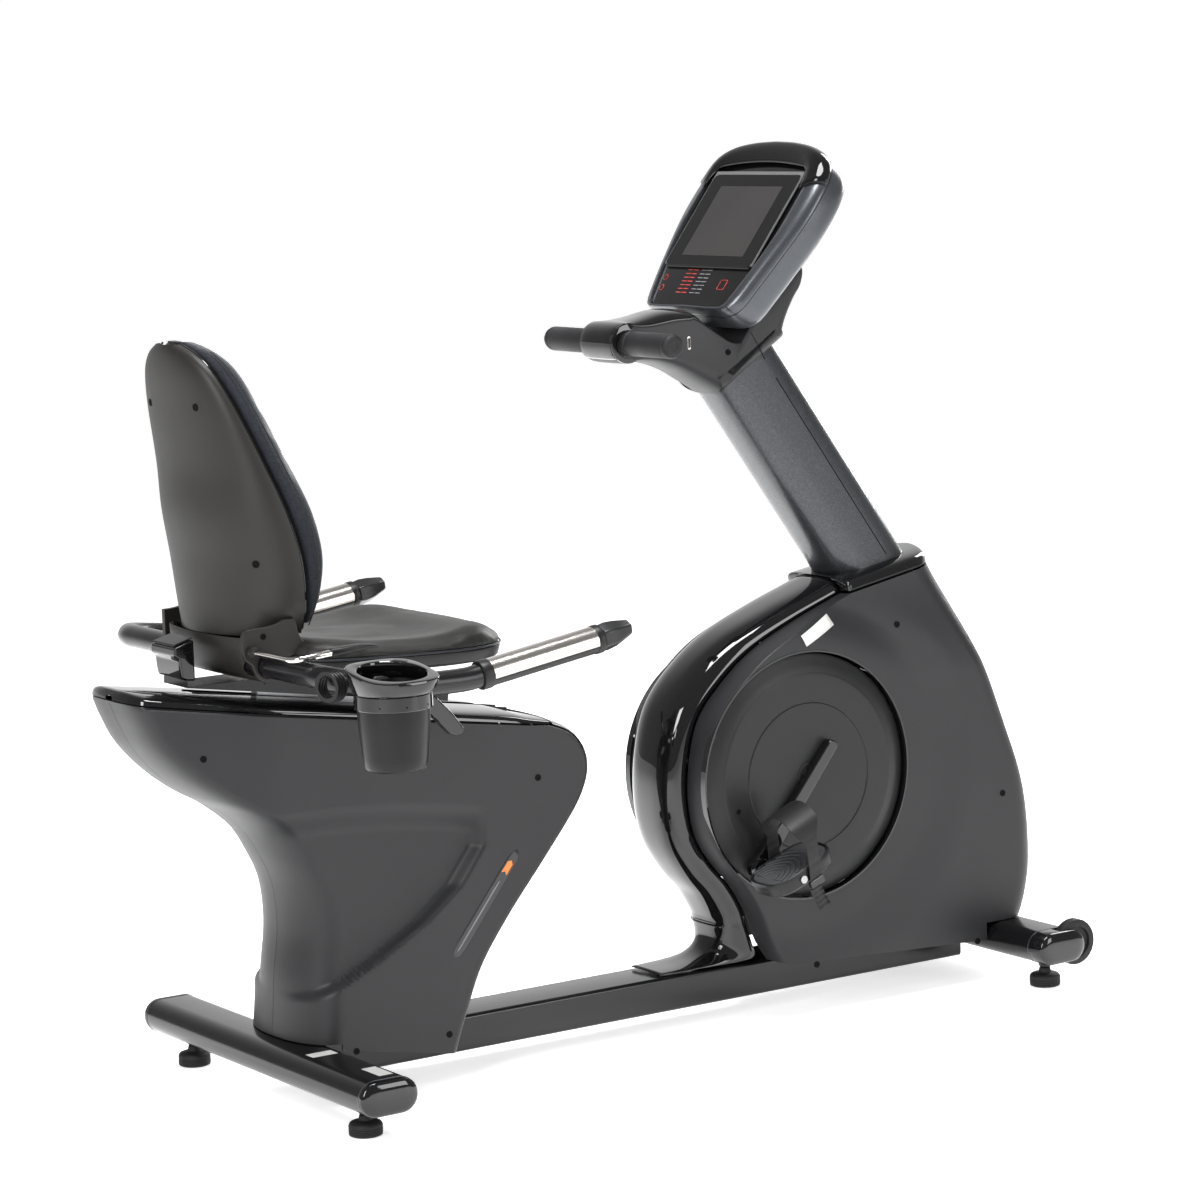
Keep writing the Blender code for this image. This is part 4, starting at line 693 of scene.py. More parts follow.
def camera():
    """Seen from the right rear, a little above the seat; the camera leans by two degrees."""
    data = bpy.data.cameras.new("camera")
    data.sensor_width = SENSOR_WIDTH
    data.sensor_fit = "HORIZONTAL"
    data.lens = FOCAL_LENGTH
    data.clip_end = 200.0
    seen_from = bpy.data.objects.new("camera", data)
    heading, pitch = math.radians(CAMERA_HEADING), math.radians(CAMERA_PITCH)
    forward = Vector((
        -math.sin(heading) * math.cos(pitch), math.cos(heading) * math.cos(pitch), -math.sin(pitch)
    ))
    right = forward.cross(Vector((0.0, 0.0, 1.0))).normalized()
    up = right.cross(forward)
    roll = math.radians(CAMERA_ROLL)
    across = right * math.cos(roll) + up * math.sin(roll)
    above = up * math.cos(roll) - right * math.sin(roll)
    turn = Matrix((across, above, -forward)).transposed()
    seen_from.matrix_world = Matrix.Translation(CAMERA_PLACE + OFFSET) @ turn.to_4x4()
    SCENE.collection.objects.link(seen_from)
    SCENE.camera = seen_from


# ---------------------------------------------------------------- rail, stabilisers and feet
def flat_oval(width, height):
    steps = 14
    radius = height / 2
    half = width / 2 - radius
    return arc((half, 0.0), radius, -90, 90, steps) + arc((-half, 0.0), radius, 90, 270, steps)


def section_at(outline, x, y, z):
    return [Vector((x + px, y, z + pz)) for px, pz in outline]


def stabiliser(name, x, half_length):
    outline = flat_oval(TUBE_WIDTH, TUBE_HEIGHT)
    ends = [i / 12 * 2 * half_length - half_length for i in range(13)]
    rings = [section_at(outline, x, y, TUBE_Z) for y in ends]
    return loft(name, rings, FRAME_PAINT, "frame", name)


def end_cap(node, x, y_inner, side, depth):
    """A pillow-faced cap behind a thin bright rim."""
    rings = []
    for step, inset in (
        (0.0, 0.0), (0.003, -0.0002), (depth - 0.007, 0.0), (depth - 0.0045, 0.0015),
        (depth - 0.0025, 0.0045), (depth - 0.0010, 0.0100), (depth - 0.0002, 0.0170),
        (depth, 0.0225),
    ):
        line = flat_oval(TUBE_WIDTH - 2 * inset, TUBE_HEIGHT - 2 * inset)
        rings.append(section_at(line, x, side * (y_inner + GAP + step), TUBE_Z))
    return loft(node, rings, GLOSS, "frame", node, smooth=50.0)


def cap_rim(name, x, y, side):
    """The thin bright line between a stabiliser's tube and its cap."""
    rings = []
    for step, grow in ((-0.0012, 0.0), (-0.0010, 0.0006), (0.0010, 0.0006), (0.0012, 0.0)):
        line = flat_oval(TUBE_WIDTH + 2 * grow, TUBE_HEIGHT + 2 * grow)
        rings.append(section_at(line, x, y + side * step, TUBE_Z))
    return loft(name, rings, SATIN_GREY, "frame")


def levelling_foot(node, x, y):
    """A threaded stem with its lock nut over a ribbed rubber pad."""
    radius = FOOT_RADIUS
    thread = []
    for k in range(8):
        z = 0.057 - 0.0015 * k
        thread += [(0.0060, z), (0.0053, z - 0.0007)]
    profile = [(0.0, 0.058), (0.0054, 0.058)] + thread + [
        (0.0060, 0.0450), (0.0060, 0.0385), (0.0060, 0.0300), (0.0085, 0.0290), (0.0095, 0.0240),
        (0.0100, 0.0215), (radius - 0.006, 0.0205), (radius - 0.0025, 0.0190),
        (radius - 0.0008, 0.0170), (radius, 0.0145),
    ]
    for k in range(3):
        z = 0.0125 - 0.0032 * k
        profile += [(radius, z), (radius - 0.0007, z - 0.0006), (radius - 0.0007, z - 0.0012),
                    (radius, z - 0.0018)]
    profile += [(radius - 0.0006, 0.0012), (radius - 0.0030, 0.0), (0.0, 0.0)]
    foot = turned(node, profile, (x, y, 0.0), (0, 0, 1), RUBBER, node, node, 48)
    nut_ring = [
        (0.0098 * math.cos(math.radians(60 * k + 10)), 0.0098 * math.sin(math.radians(60 * k + 10)))
        for k in range(6)
    ]
    rings = [
        [Vector((x + px * s, y + py * s, z)) for px, py in nut_ring]
        for z, s in ((0.0305, 0.93), (0.0312, 1.0), (0.0372, 1.0), (0.0379, 0.93))
    ]
    loft(node + "_nut", rings, BLACK_MOULDED, node)
    return foot


def transport_wheel(word, side):
    node = f"front_end_cap_{word}"
    depth = 0.036
    cap = end_cap(node, WHEELBASE, FRONT_HALF_LENGTH, side, depth)
    cap_rim(f"front_cap_rim_{word}", WHEELBASE, side * (FRONT_HALF_LENGTH + GAP), side)
    y_wheel = side * (FRONT_HALF_LENGTH + 0.0135)
    slot = helper(box_mesh(
        (0.10, WHEEL_WIDTH + 0.003, 0.12), (WHEEL.x + 0.0135, y_wheel, WHEEL.z)
    ))
    carve(cap, slot)
    pin_y = side * (FRONT_HALF_LENGTH + 0.018)
    piece(f"wheel_pin_{word}", rod_mesh(0.004, 0.028, (WHEEL.x, pin_y, WHEEL.z), (0, 1, 0), 24),
          STEEL, "frame")
    half, r = WHEEL_WIDTH / 2, WHEEL_RADIUS
    profile = [
        (0.0046, half - 0.001), (0.0100, half - 0.001), (0.0110, half - 0.004),
        (r - 0.012, half - 0.004), (r - 0.011, half), (r - 0.003, half), (r - 0.0010, half - 0.001),
        (r, half - 0.003), (r, 0.0010), (r - 0.0006, 0.0005), (r - 0.0006, -0.0005), (r, -0.0010),
        (r, 0.003 - half), (r - 0.0010, 0.001 - half), (r - 0.003, -half), (r - 0.011, -half),
        (r - 0.012, 0.004 - half), (0.0110, 0.004 - half), (0.0100, 0.001 - half),
        (0.0046, 0.001 - half),
    ]
    name = f"transport_wheel_{word}"
    turned(name, profile, (WHEEL.x, y_wheel, WHEEL.z), (0, 1, 0), RUBBER, name, name, 56)


def base_frame():
    stabiliser("rear_stabiliser", 0.0, REAR_HALF_LENGTH)
    stabiliser("front_stabiliser", WHEELBASE, FRONT_HALF_LENGTH)
    start, end = TUBE_WIDTH / 2 + GAP, WHEELBASE - TUBE_WIDTH / 2 - GAP
    ring = rounded_rectangle(2 * RAIL_HALF_WIDTH, RAIL_TOP - RAIL_BOTTOM, 0.0065, 6)
    middle = (RAIL_TOP + RAIL_BOTTOM) / 2
    rings = [
        [Vector((start + (end - start) * i / 24, py, middle + pz)) for py, pz in ring]
        for i in range(25)
    ]
    loft("main_rail", rings, FRAME_PAINT, "frame", "main_rail")
    for word, side in SIDES:
        end_cap(f"rear_end_cap_{word}", 0.0, REAR_HALF_LENGTH, side, CAP_DEPTH)
        cap_rim(f"rear_cap_rim_{word}", 0.0, side * (REAR_HALF_LENGTH + GAP), side)
        levelling_foot(f"rear_foot_{word}", 0.0, side * REAR_FOOT_Y)
        levelling_foot(f"front_foot_{word}", WHEELBASE, side * FRONT_FOOT_Y)
        transport_wheel(word, side)
    top = TUBE_Z + TUBE_HEIGHT / 2
    label("bar_label_rear", [(-0.020, -0.150), (0.020, -0.150), (0.020, -0.128), (-0.020, -0.128)],
          top)
    label("bar_label_outer", [(0.000, -0.300), (0.022, -0.300), (0.022, -0.250), (0.000, -0.250)],
          top)


def label(name, corners, z):
    """A blank paper sticker lying on a flat top."""
    bm = bmesh.new()
    low = [bm.verts.new((x, y, z + 0.00002)) for x, y in corners]
    high = [bm.verts.new((x, y, z + 0.00018)) for x, y in corners]
    bm.faces.new(low[::-1])
    bm.faces.new(high)
    for i in range(4):
        j = (i + 1) % 4
        bm.faces.new((low[i], low[j], high[j], high[i]))
    return piece(name, bm, WHITE_LABEL, "frame", recalc=True)


# ---------------------------------------------------------------- rear housing
REAR_BACK = (
    (-0.004, 0.0, 0.0935), (0.000, 0.0, 0.130), (0.004, 0.0, 0.180), (0.013, 0.0, 0.250),
    (0.008, 0.0, 0.313), (-0.012, 0.0, 0.360), (-0.036, 0.0, 0.398), (-0.075, 0.0, 0.432),
    (-0.125, 0.0, 0.462), (-0.166, 0.0, 0.495), (-0.200, 0.0, 0.535), (-0.221, 0.0, 0.575),
    (-0.233, 0.0, 0.606),
)
REAR_FRONT = (
    (0.233, 0.0, 0.048), (0.255, 0.0, 0.105), (0.285, 0.0, 0.172), (0.335, 0.0, 0.240),
    (0.400, 0.0, 0.315), (0.455, 0.0, 0.382), (0.476, 0.0, 0.425), (0.474, 0.0, 0.460),
    (0.452, 0.0, 0.489), (0.418, 0.0, 0.505),
)
RECESS_EDGE = ((0.000, 0.148), (0.117, 0.200), (0.201, 0.247), (0.259, 0.292), (0.300, 0.345))
RECESS_DEPTH = 0.020
REAR_HALF_WIDTH = 0.114


def recess_edge(z):
    """The x of the slanted edge of the hollow in the rear housing's side."""
    for (x0, z0), (x1, z1) in zip(RECESS_EDGE, RECESS_EDGE[1:]):
        if z <= z1:
            return x0 + (x1 - x0) * (z - z0) / (z1 - z0)
    return RECESS_EDGE[-1][0]


def rear_half_width(x, z):
    """How far the rear housing's side stands from the symmetry plane."""
    width = REAR_HALF_WIDTH - 0.032 * blend(-0.02, -0.23, x)
    top = 0.435 - 0.35 * max(x, 0.0) ** 2
    inside = blend(top, top - 0.045, z) * blend(recess_edge(z), recess_edge(z) - 0.022, x)
    return width - RECESS_DEPTH * inside * blend(0.135, 0.165, z)


def rear_row(back, front, last):
    """Points of the side from the seam at the back to the trim at the front, at one level."""
    direction = (front - back).normalized()
    length = (front - back).length
    tail = blend(0.44, 0.56, back.z)
    depth = 0.055 - 0.02 * tail
    power = 0.9 - 0.3 * tail
    row = []
    for k in range(21):
        angle = math.radians(90 * k / 20)
        at = back + direction * depth * (1 - math.cos(angle) ** power)
        width = rear_half_width(at.x, at.z) * math.sin(angle) ** power
        row.append(Vector((at.x, max(width, GAP), at.z)))
    flats = 112
    for k in range(1, flats + 1):
        at = back + direction * (depth + (length - depth - 0.006) * k / flats)
        row.append(Vector((at.x, rear_half_width(at.x, at.z), at.z)))
    for k in range(1, 5):
        angle = math.radians(90 * k / 4)
        at = front - direction * 0.006 * (1 - math.sin(angle))
        width = rear_half_width(front.x, front.z) - 0.006 * (1 - math.cos(angle))
        row.append(Vector((at.x, width, at.z)))
    if last:
        row = [Vector((p.x, max(p.y - 0.004, GAP), p.z)) for p in row]
    return row


def rear_housing():
    levels = 130
    backs, fronts = spline(REAR_BACK, levels), spline(REAR_FRONT, levels)
    rows = [rear_row(b, f, False) for b, f in zip(backs, fronts)]
    crown = rows[-1]
    rows[-2] = [p.lerp(q, 0.5) for p, q in zip(rows[-3], rows[-1])]
    rows[-1] = [Vector((p.x, max(p.y - 0.0035, GAP), p.z)) for p in crown]
    for word, side in SIDES:
        node = f"rear_housing_{word}"
        half = [mirrored(row) for row in rows] if side < 0 else rows
        shell = skin(node, half, MATTE, "frame", (0, side, 0), node, edge=0)
        notch = helper(box_mesh((TUBE_WIDTH + 0.006, 0.5, 0.1), (0.0, 0.0, 0.0435)))
        carve(shell, notch)
        places = (-0.139, 0.524), (0.391, 0.432), (0.224, 0.078), (0.070, 0.079)
        for i, (x, z) in enumerate(places):
            y = side * (rear_half_width(x, z) + 0.0002)
            screw_head(f"rear_screw_{word}_{i}", (x, y, z), (0, side, 0), "frame", 0.0050)
        side_strip(word, side)
    deck_cover(crown)
    rear_trim(fronts)


def side_strip(word, side):
    """A slanted inlay on the side with a small accent at its upper end; it carries no lettering."""
    low, high = Vector((0.236, 0.0, 0.188)), Vector((0.352, 0.0, 0.331))
    along = (high - low).normalized()
    across = Vector((-along.z, 0.0, along.x))

    def patch(name, start, end, half, lift, paint, skew=0.0):
        rows = []
        for i in range(25):
            t = start + (end - start) * i / 24
            round_off = min(1.0, math.sqrt(max(0.0, 1 - (abs(2 * i / 24 - 1)) ** 10)) + 0.02)
            row = []
            for k in range(7):
                v = half * (k / 3 - 1) * (round_off if not skew else 1.0)
                at = low.lerp(high, t) + across * v + along * skew * abs(v)
                y = side * (rear_half_width(at.x, at.z) + lift)
                row.append(Vector((at.x, y, at.z)))
            rows.append(row)
        obj = piece(f"{name}_{word}", grid_mesh(rows, (0, side, 0)), paint, "frame")
        walled(obj, 0.0006)

    patch("side_strip", 0.0, 1.0, 0.0085, 0.0004, STRIP)
    patch("side_line", 0.05, 0.72, 0.0011, 0.0006, PRINT)
    patch("side_accent", 0.80, 0.90, 0.0050, 0.0006, ORANGE, -0.9)


def deck_cover(edge):
    """The gloss top between the two side shells, with a slot for the seat carriage."""
    stations = [edge[0]] + edge[3:21:3] + edge[22:130:4] + [edge[-1]]
    rows = []
    last = len(stations) - 1
    for i, at in enumerate(stations):
        half = max(at.y - 0.0003, 0.010)
        ends = min(1.0, (i + 0.6) / 3.0) * min(1.0, (last - i + 0.9) / 3.0)
        crown = 0.004 + 0.0115 * ends
        base = Vector((at.x, 0.0, at.z)) + SLIDE_UP * 0.0018
        row = []
        for out, rise in arch_steps(28):
            across = half * signed_power(out, 0.62)
            row.append(base + Vector((0, across, 0)) + SLIDE_UP * crown * rise ** 0.6)
        rows.append(row)
    deck = skin("deck_cover", rows, GLOSS, "frame", SLIDE_UP, "deck_cover", 0.0025, 0)
    slot = helper(box_mesh((0.52, 0.030, 0.08), (0.145, 0.0, 0.552), SLIDE_TILT))
    carve(deck, slot)
    lining = []
    for side in (-1, 1):
        lining.append(box_mesh((0.52, 0.002, 0.012), Vector((0.145, side * 0.0160, 0.5585)),
                               SLIDE_TILT))
    merged("deck_slot_lips", lining, BLACK_MOULDED, "frame")


def strip_ring(at, outwards, half, crown):
    """A low arch over a strip's width, from one edge to the other."""
    row = []
    for out, rise in arch_steps(28):
        across = half * signed_power(out, 0.7)
        row.append(at + Vector((0, across, 0)) + outwards * crown * rise ** 0.8)
    return row


def outward_normals(points, away_from):
    normals = []
    for i, point in enumerate(points):
        before, after = points[max(i - 1, 0)], points[min(i + 1, len(points) - 1)]
        along = (after - before).normalized()
        normal = Vector((along.z, 0.0, -along.x))
        if normal.dot(point - away_from) < 0:
            normal = -normal
        normals.append(normal)
    return normals


def rear_trim(fronts):
    """The gloss strip down the front edge of the rear housing."""
    normals = outward_normals(fronts, Vector((0.1, 0.0, 0.35)))
    rows = []
    for at, normal in zip(fronts[:-1], normals[:-1]):
        half = rear_half_width(at.x, at.z) - 0.0050
        rows.append(strip_ring(at + normal * 0.0008, normal, half, 0.0105))
    trim = skin("rear_trim", rows, GLOSS, "frame", (1, 0, 0), "rear_trim", 0.003, 0)
    rail = helper(box_mesh(
        (0.6, 2 * RAIL_HALF_WIDTH + 0.002, 0.08), (0.25, 0.0, RAIL_TOP - 0.039)
    ))
    carve(trim, rail)


# ---------------------------------------------------------------- front housing
SPINE = (
    (0.824, 0.0, 0.086), (0.803, 0.0, 0.120), (0.783, 0.0, 0.171), (0.757, 0.0, 0.214),
    (0.725, 0.0, 0.251), (0.698, 0.0, 0.297), (0.689, 0.0, 0.354), (0.694, 0.0, 0.414),
    (0.712, 0.0, 0.472), (0.754, 0.0, 0.520), (0.811, 0.0, 0.564), (0.890, 0.0, 0.601),
    (0.985, 0.0, 0.636),
)
FRONT_NOSE = (
    (1.290, 0.0, 0.062), (1.315, 0.0, 0.100), (1.330, 0.0, 0.150), (1.334, 0.0, 0.200),
    (1.330, 0.0, 0.269), (1.317, 0.0, 0.330), (1.290, 0.0, 0.403), (1.260, 0.0, 0.481),
    (1.230, 0.0, 0.544), (1.198, 0.0, 0.610), (1.168, 0.0, 0.668),
)
SPINE_HALF_WIDTH, DRUM_HALF_WIDTH = 0.060, 0.107


def front_half_width(x, z):
    """The side's distance from the symmetry plane: flat round the disc, fuller towards the nose."""
    from_axle = math.hypot(x - CRANK.x, z - CRANK.z)
    full = DRUM_HALF_WIDTH + 0.010 * blend(DISC_RADIUS + 0.05, DISC_RADIUS + 0.13, from_axle)
    narrowing = (full - 0.078) * blend(0.50, 0.67, z)
    return full - narrowing * blend(DISC_RADIUS + 0.005, DISC_RADIUS + 0.08, from_axle)


def front_row(back, front):
    direction = (front - back).normalized()
    length = (front - back).length
    start = 0.007
    row = []
    for k in range(11):
        angle = math.radians(90 * k / 10)
        at = back + direction * start * (1 - math.cos(angle))
        rise = (front_half_width(at.x, at.z) - SPINE_HALF_WIDTH) * math.sin(angle)
        row.append(Vector((at.x, SPINE_HALF_WIDTH + rise, at.z)))
    nose = min(0.055, length * 0.4)
    flats = 120
    for k in range(1, flats + 1):
        at = back + direction * (start + (length - start - nose) * k / flats)
        row.append(Vector((at.x, front_half_width(at.x, at.z), at.z)))
    for k in range(1, 17):
        angle = math.radians(90 * k / 16)
        at = front - direction * nose * (1 - math.sin(angle) ** 0.9)
        width = front_half_width(at.x, at.z) * math.cos(angle) ** 0.8
        row.append(Vector((at.x, max(width, GAP), at.z)))
    return row


def open_round(bm, centre, radius):
    """Opens a round hole along Y through a surface: what lies inside goes, and its rim is pulled
    onto the circle."""
    def apart(vert):
        return math.hypot(vert.co.x - centre.x, vert.co.z - centre.z)

    inside = {vert for vert in bm.verts if apart(vert) < radius}
    gone = [face for face in bm.faces if all(vert in inside for vert in face.verts)]
    bmesh.ops.delete(bm, geom=gone, context="FACES")
    for vert in bm.verts:
        if apart(vert) < radius:
            scale = radius / apart(vert)
            vert.co.x = centre.x + (vert.co.x - centre.x) * scale
            vert.co.z = centre.z + (vert.co.z - centre.z) * scale


def front_housing():
    levels = 130
    backs, fronts = spline(SPINE, levels), spline(FRONT_NOSE, levels)
    rows = [front_row(b, f) for b, f in zip(backs, fronts)]
    for word, side in SIDES:
        node = f"front_housing_{word}"
        half = [mirrored(row) for row in rows] if side < 0 else rows
        surface = grid_mesh(half, (0, side, 0))
        open_round(surface, CRANK, DISC_RADIUS + 0.003)
        shell = piece(node, surface, MATTE, "frame", node)
        walled(shell, SHELL)
        notch = helper(box_mesh((TUBE_WIDTH + 0.008, 0.5, 0.1), (WHEELBASE, 0.0, 0.0435)))
        carve(shell, notch)
        r = DISC_RADIUS + 0.0028
        well = [
            (r, 0.1078), (r + 0.0026, 0.1078), (r + 0.0026, 0.0960), (r, 0.0930),
        ]
        turned(f"disc_well_{word}", well, CRANK, (0, side, 0), GLOSS, "frame", steps=128)
        places = (1.065, 0.582), (1.249, 0.296), (0.880, 0.078), (1.192, 0.067)
        for i, (x, z) in enumerate(places):
            y = side * (front_half_width(x, z) + 0.0002)
            screw_head(f"front_screw_{word}_{i}", (x, y, z), (0, side, 0), "frame", 0.0052)
    side_label()
    spine_cover()
    mast_collar(rows[-1])


def side_label():
    """A blank pale sticker near the top of the right shell."""
    low, high = Vector((0.8805, 0.0, 0.577)), Vector((0.940, 0.0, 0.6035))
    rows = []
    for i in range(9):
        row = []
        for k in range(4):
            at = low.lerp(high, i / 8) + Vector((-0.0038, 0, 0.0085)) * (k / 1.5 - 1)
            row.append(Vector((at.x, -(front_half_width(at.x, at.z) + 0.0003), at.z)))
        rows.append(row)
    obj = piece("side_label", grid_mesh(rows, (0, -1, 0)), WHITE_LABEL, "frame")
    walled(obj, 0.0003)


SPINE_TAIL = (
    (0.642, 0.0860, 0.642, 0.0885, 0.0400), (0.690, 0.0860, 0.690, 0.0905, 0.0445),
    (0.735, 0.0862, 0.722, 0.0955, 0.0445), (0.778, 0.0872, 0.742, 0.1065, 0.0450),
    (0.806, 0.0920, 0.751, 0.1250, 0.0490), (0.802, 0.1120, 0.750, 0.1480, 0.0550),
)


def spine_cover():
    """The gloss cover along the back of the front housing, with a tail that lies over the rail."""
    path = spline(((0.789, 0.0, 0.148),) + SPINE[2:], 84)
    normals = outward_normals(path, Vector((0.95, 0.0, 0.35)))
    half = SPINE_HALF_WIDTH - 0.001
    rows = []
    edges, crowns, halves = [], [], []
    for edge_x, edge_z, crown_x, crown_z, width in SPINE_TAIL:
        edges.append((edge_x, 0.0, edge_z))
        crowns.append((crown_x, 0.0, crown_z))
        halves.append((width, 0.0, 0.0))
    first = path[0] + normals[0] * 0.0012
    edges.append(tuple(first))
    crowns.append(tuple(first + normals[0] * 0.036))
    halves.append((half, 0.0, 0.0))
    count = 36
    for edge, crown, width in zip(
        spline(edges, count), spline(crowns, count), spline(halves, count)
    ):
        rows.append(strip_ring(edge, crown - edge, width.x, 1.0))
    for at, normal in zip(path[1:], normals[1:]):
        crown = 0.036 - 0.014 * blend(0.5, 0.64, at.z)
        rows.append(strip_ring(at + normal * 0.0012, normal, half, crown))
    skin("spine_cover", rows, GLOSS, "frame", (-1, 0, 0.3), "spine_cover", 0.003, 0)


MAST_FOOT, MAST_TOP = Vector((1.077, 0.0, 0.655)), Vector((0.855, 0.0, 0.975))
MAST_DEPTH, MAST_WIDTH = 0.127, 0.104
MAST_LOW, MAST_RIM, MAST_HIGH = -0.10, 1.0545, 1.14


def mast_section(centre, depth, width):
    """A superellipse across the mast, level with its cross-section."""
    along = (MAST_TOP - MAST_FOOT).normalized()
    across = Vector((along.z, 0.0, -along.x))
    points = []
    for c, s in round_steps(72):
        u = signed_power(c, 0.62) * depth / 2
        v = signed_power(s, 0.62) * width / 2
        points.append(centre + across * u + Vector((0.0, v, 0.0)))
    return points


def mast():
    rings = [
        mast_section(MAST_FOOT.lerp(MAST_TOP, MAST_LOW + (MAST_HIGH - MAST_LOW) * i / 30),
                     MAST_DEPTH, MAST_WIDTH)
        for i in range(31)
    ]
    loft("mast", rings, MAST_PAINT, "frame", "mast")
    along = (MAST_TOP - MAST_FOOT).normalized()
    across = Vector((along.z, 0.0, -along.x))
    for word, side in SIDES:
        edge = [
            MAST_FOOT.lerp(MAST_TOP, 0.06 + 0.9 * i / 30) + across * 0.022
            + Vector((0.0, side * (MAST_WIDTH / 2 - 0.0004), 0.0))
            for i in range(31)
        ]
        tube(f"mast_seam_{word}", edge, 0.0007, DARK_HOLE, "frame", sides=8)


def mast_collar(edge):
    """The gloss cap that closes the top of the front housing round the mast."""
    up = Vector((-(edge[-1] - edge[0]).z, 0.0, (edge[-1] - edge[0]).x)).normalized()
    rows = []
    for i, at in enumerate(edge):
        half = max(at.y, 0.012)
        crown = 0.020 if 0 < i < len(edge) - 1 else 0.014
        base = Vector((at.x, 0.0, at.z)) + up * (SHELL + GAP + 0.0005)
        row = []
        for out, rise in arch_steps(32):
            across = half * signed_power(out, 0.55)
            row.append(base + Vector((0, across, 0)) + up * crown * max(rise, 0) ** 0.5)
        rows.append(row)
    cap = skin("mast_collar", rows, GLOSS, "frame", up, "mast_collar", 0.003, 0)
    rings = [
        mast_section(MAST_FOOT.lerp(MAST_TOP, t), MAST_DEPTH + 0.0016, MAST_WIDTH + 0.0016)
        for t in (-0.2, 0.4)
    ]
    carve(cap, helper(loft_mesh(rings)))
    rounded(cap, 0.0010, 2, 50.0)


# ---------------------------------------------------------------- cranks and pedals


def crank_side(word, side):
    angle = CRANK_ANGLE if side < 0 else CRANK_ANGLE + math.pi
    face = [
        (0.0100, 0.1085), (0.0180, 0.1085), (0.0195, 0.1079), (0.0210, 0.1085), (0.0600, 0.1086),
        (0.1105, 0.1086), (0.1112, 0.1080), (0.1120, 0.1076), (0.1128, 0.1080), (0.1135, 0.1085),
        (0.1480, 0.1084), (0.1530, 0.1082), (0.1560, 0.1079), (0.1575, 0.1072), (0.1590, 0.1068),
        (0.1605, 0.1066), (0.1700, 0.1030), (0.1800, 0.0994), (0.1840, 0.0982), (0.1856, 0.0974),
        (DISC_RADIUS, 0.0968), (DISC_RADIUS, 0.0950), (0.1800, 0.0960), (0.1590, 0.1026),
        (0.0100, 0.1045),
    ]
    name = f"crank_disc_{word}"
    turned(name, face, CRANK, (0, side, 0), DISC, "crank", name, 144, 20.0)
    along = Vector((math.cos(angle), 0.0, math.sin(angle)))
    across = Vector((-along.z, 0.0, along.x))
    degrees = math.degrees(angle)
    for i, turn in enumerate((-34, 34)):
        place = CRANK + Matrix.Rotation(math.radians(turn), 3, "Y") @ along * 0.138
        screw_head(f"disc_screw_{word}_{i}", place + Vector((0, side * 0.1084, 0)), (0, side, 0),
                   "crank", 0.0042)
    tip, tail = CRANK + along * CRANK_LENGTH, CRANK - along * 0.056
    outline = arc((tail.x, tail.z), 0.0092, degrees + 90, degrees + 270, 17)
    waist = CRANK + along * 0.10
    outline += [(waist.x - across.x * 0.0115, waist.z - across.z * 0.0115)]
    outline += arc((tip.x, tip.z), 0.0165, degrees - 78, degrees + 78, 21)
    outline += [(waist.x + across.x * 0.0115, waist.z + across.z * 0.0115)]
    low, high = sorted((side * 0.1092, side * 0.1243))
    plate(f"crank_arm_{word}", outline, low, high, GLOSS, "crank", 0.0026,
          f"crank_arm_{word}")
    boss = [
        (0.0, 0.1335), (0.0075, 0.1335), (0.0085, 0.1325), (0.0085, 0.1300), (0.0142, 0.1300),
        (0.0155, 0.1288), (0.0160, 0.1265), (0.0160, 0.1120), (0.0, 0.1120),
    ]
    turned(f"pedal_boss_{word}", boss, tip, (0, side, 0), GLOSS, "crank", steps=48)
    piece(f"spindle_{word}", rod_mesh(0.0058, 0.112, tip + Vector((0, side * 0.179, 0)),
                                      (0, 1, 0), 32), STEEL, "crank")
    pedal(word, side, tip)


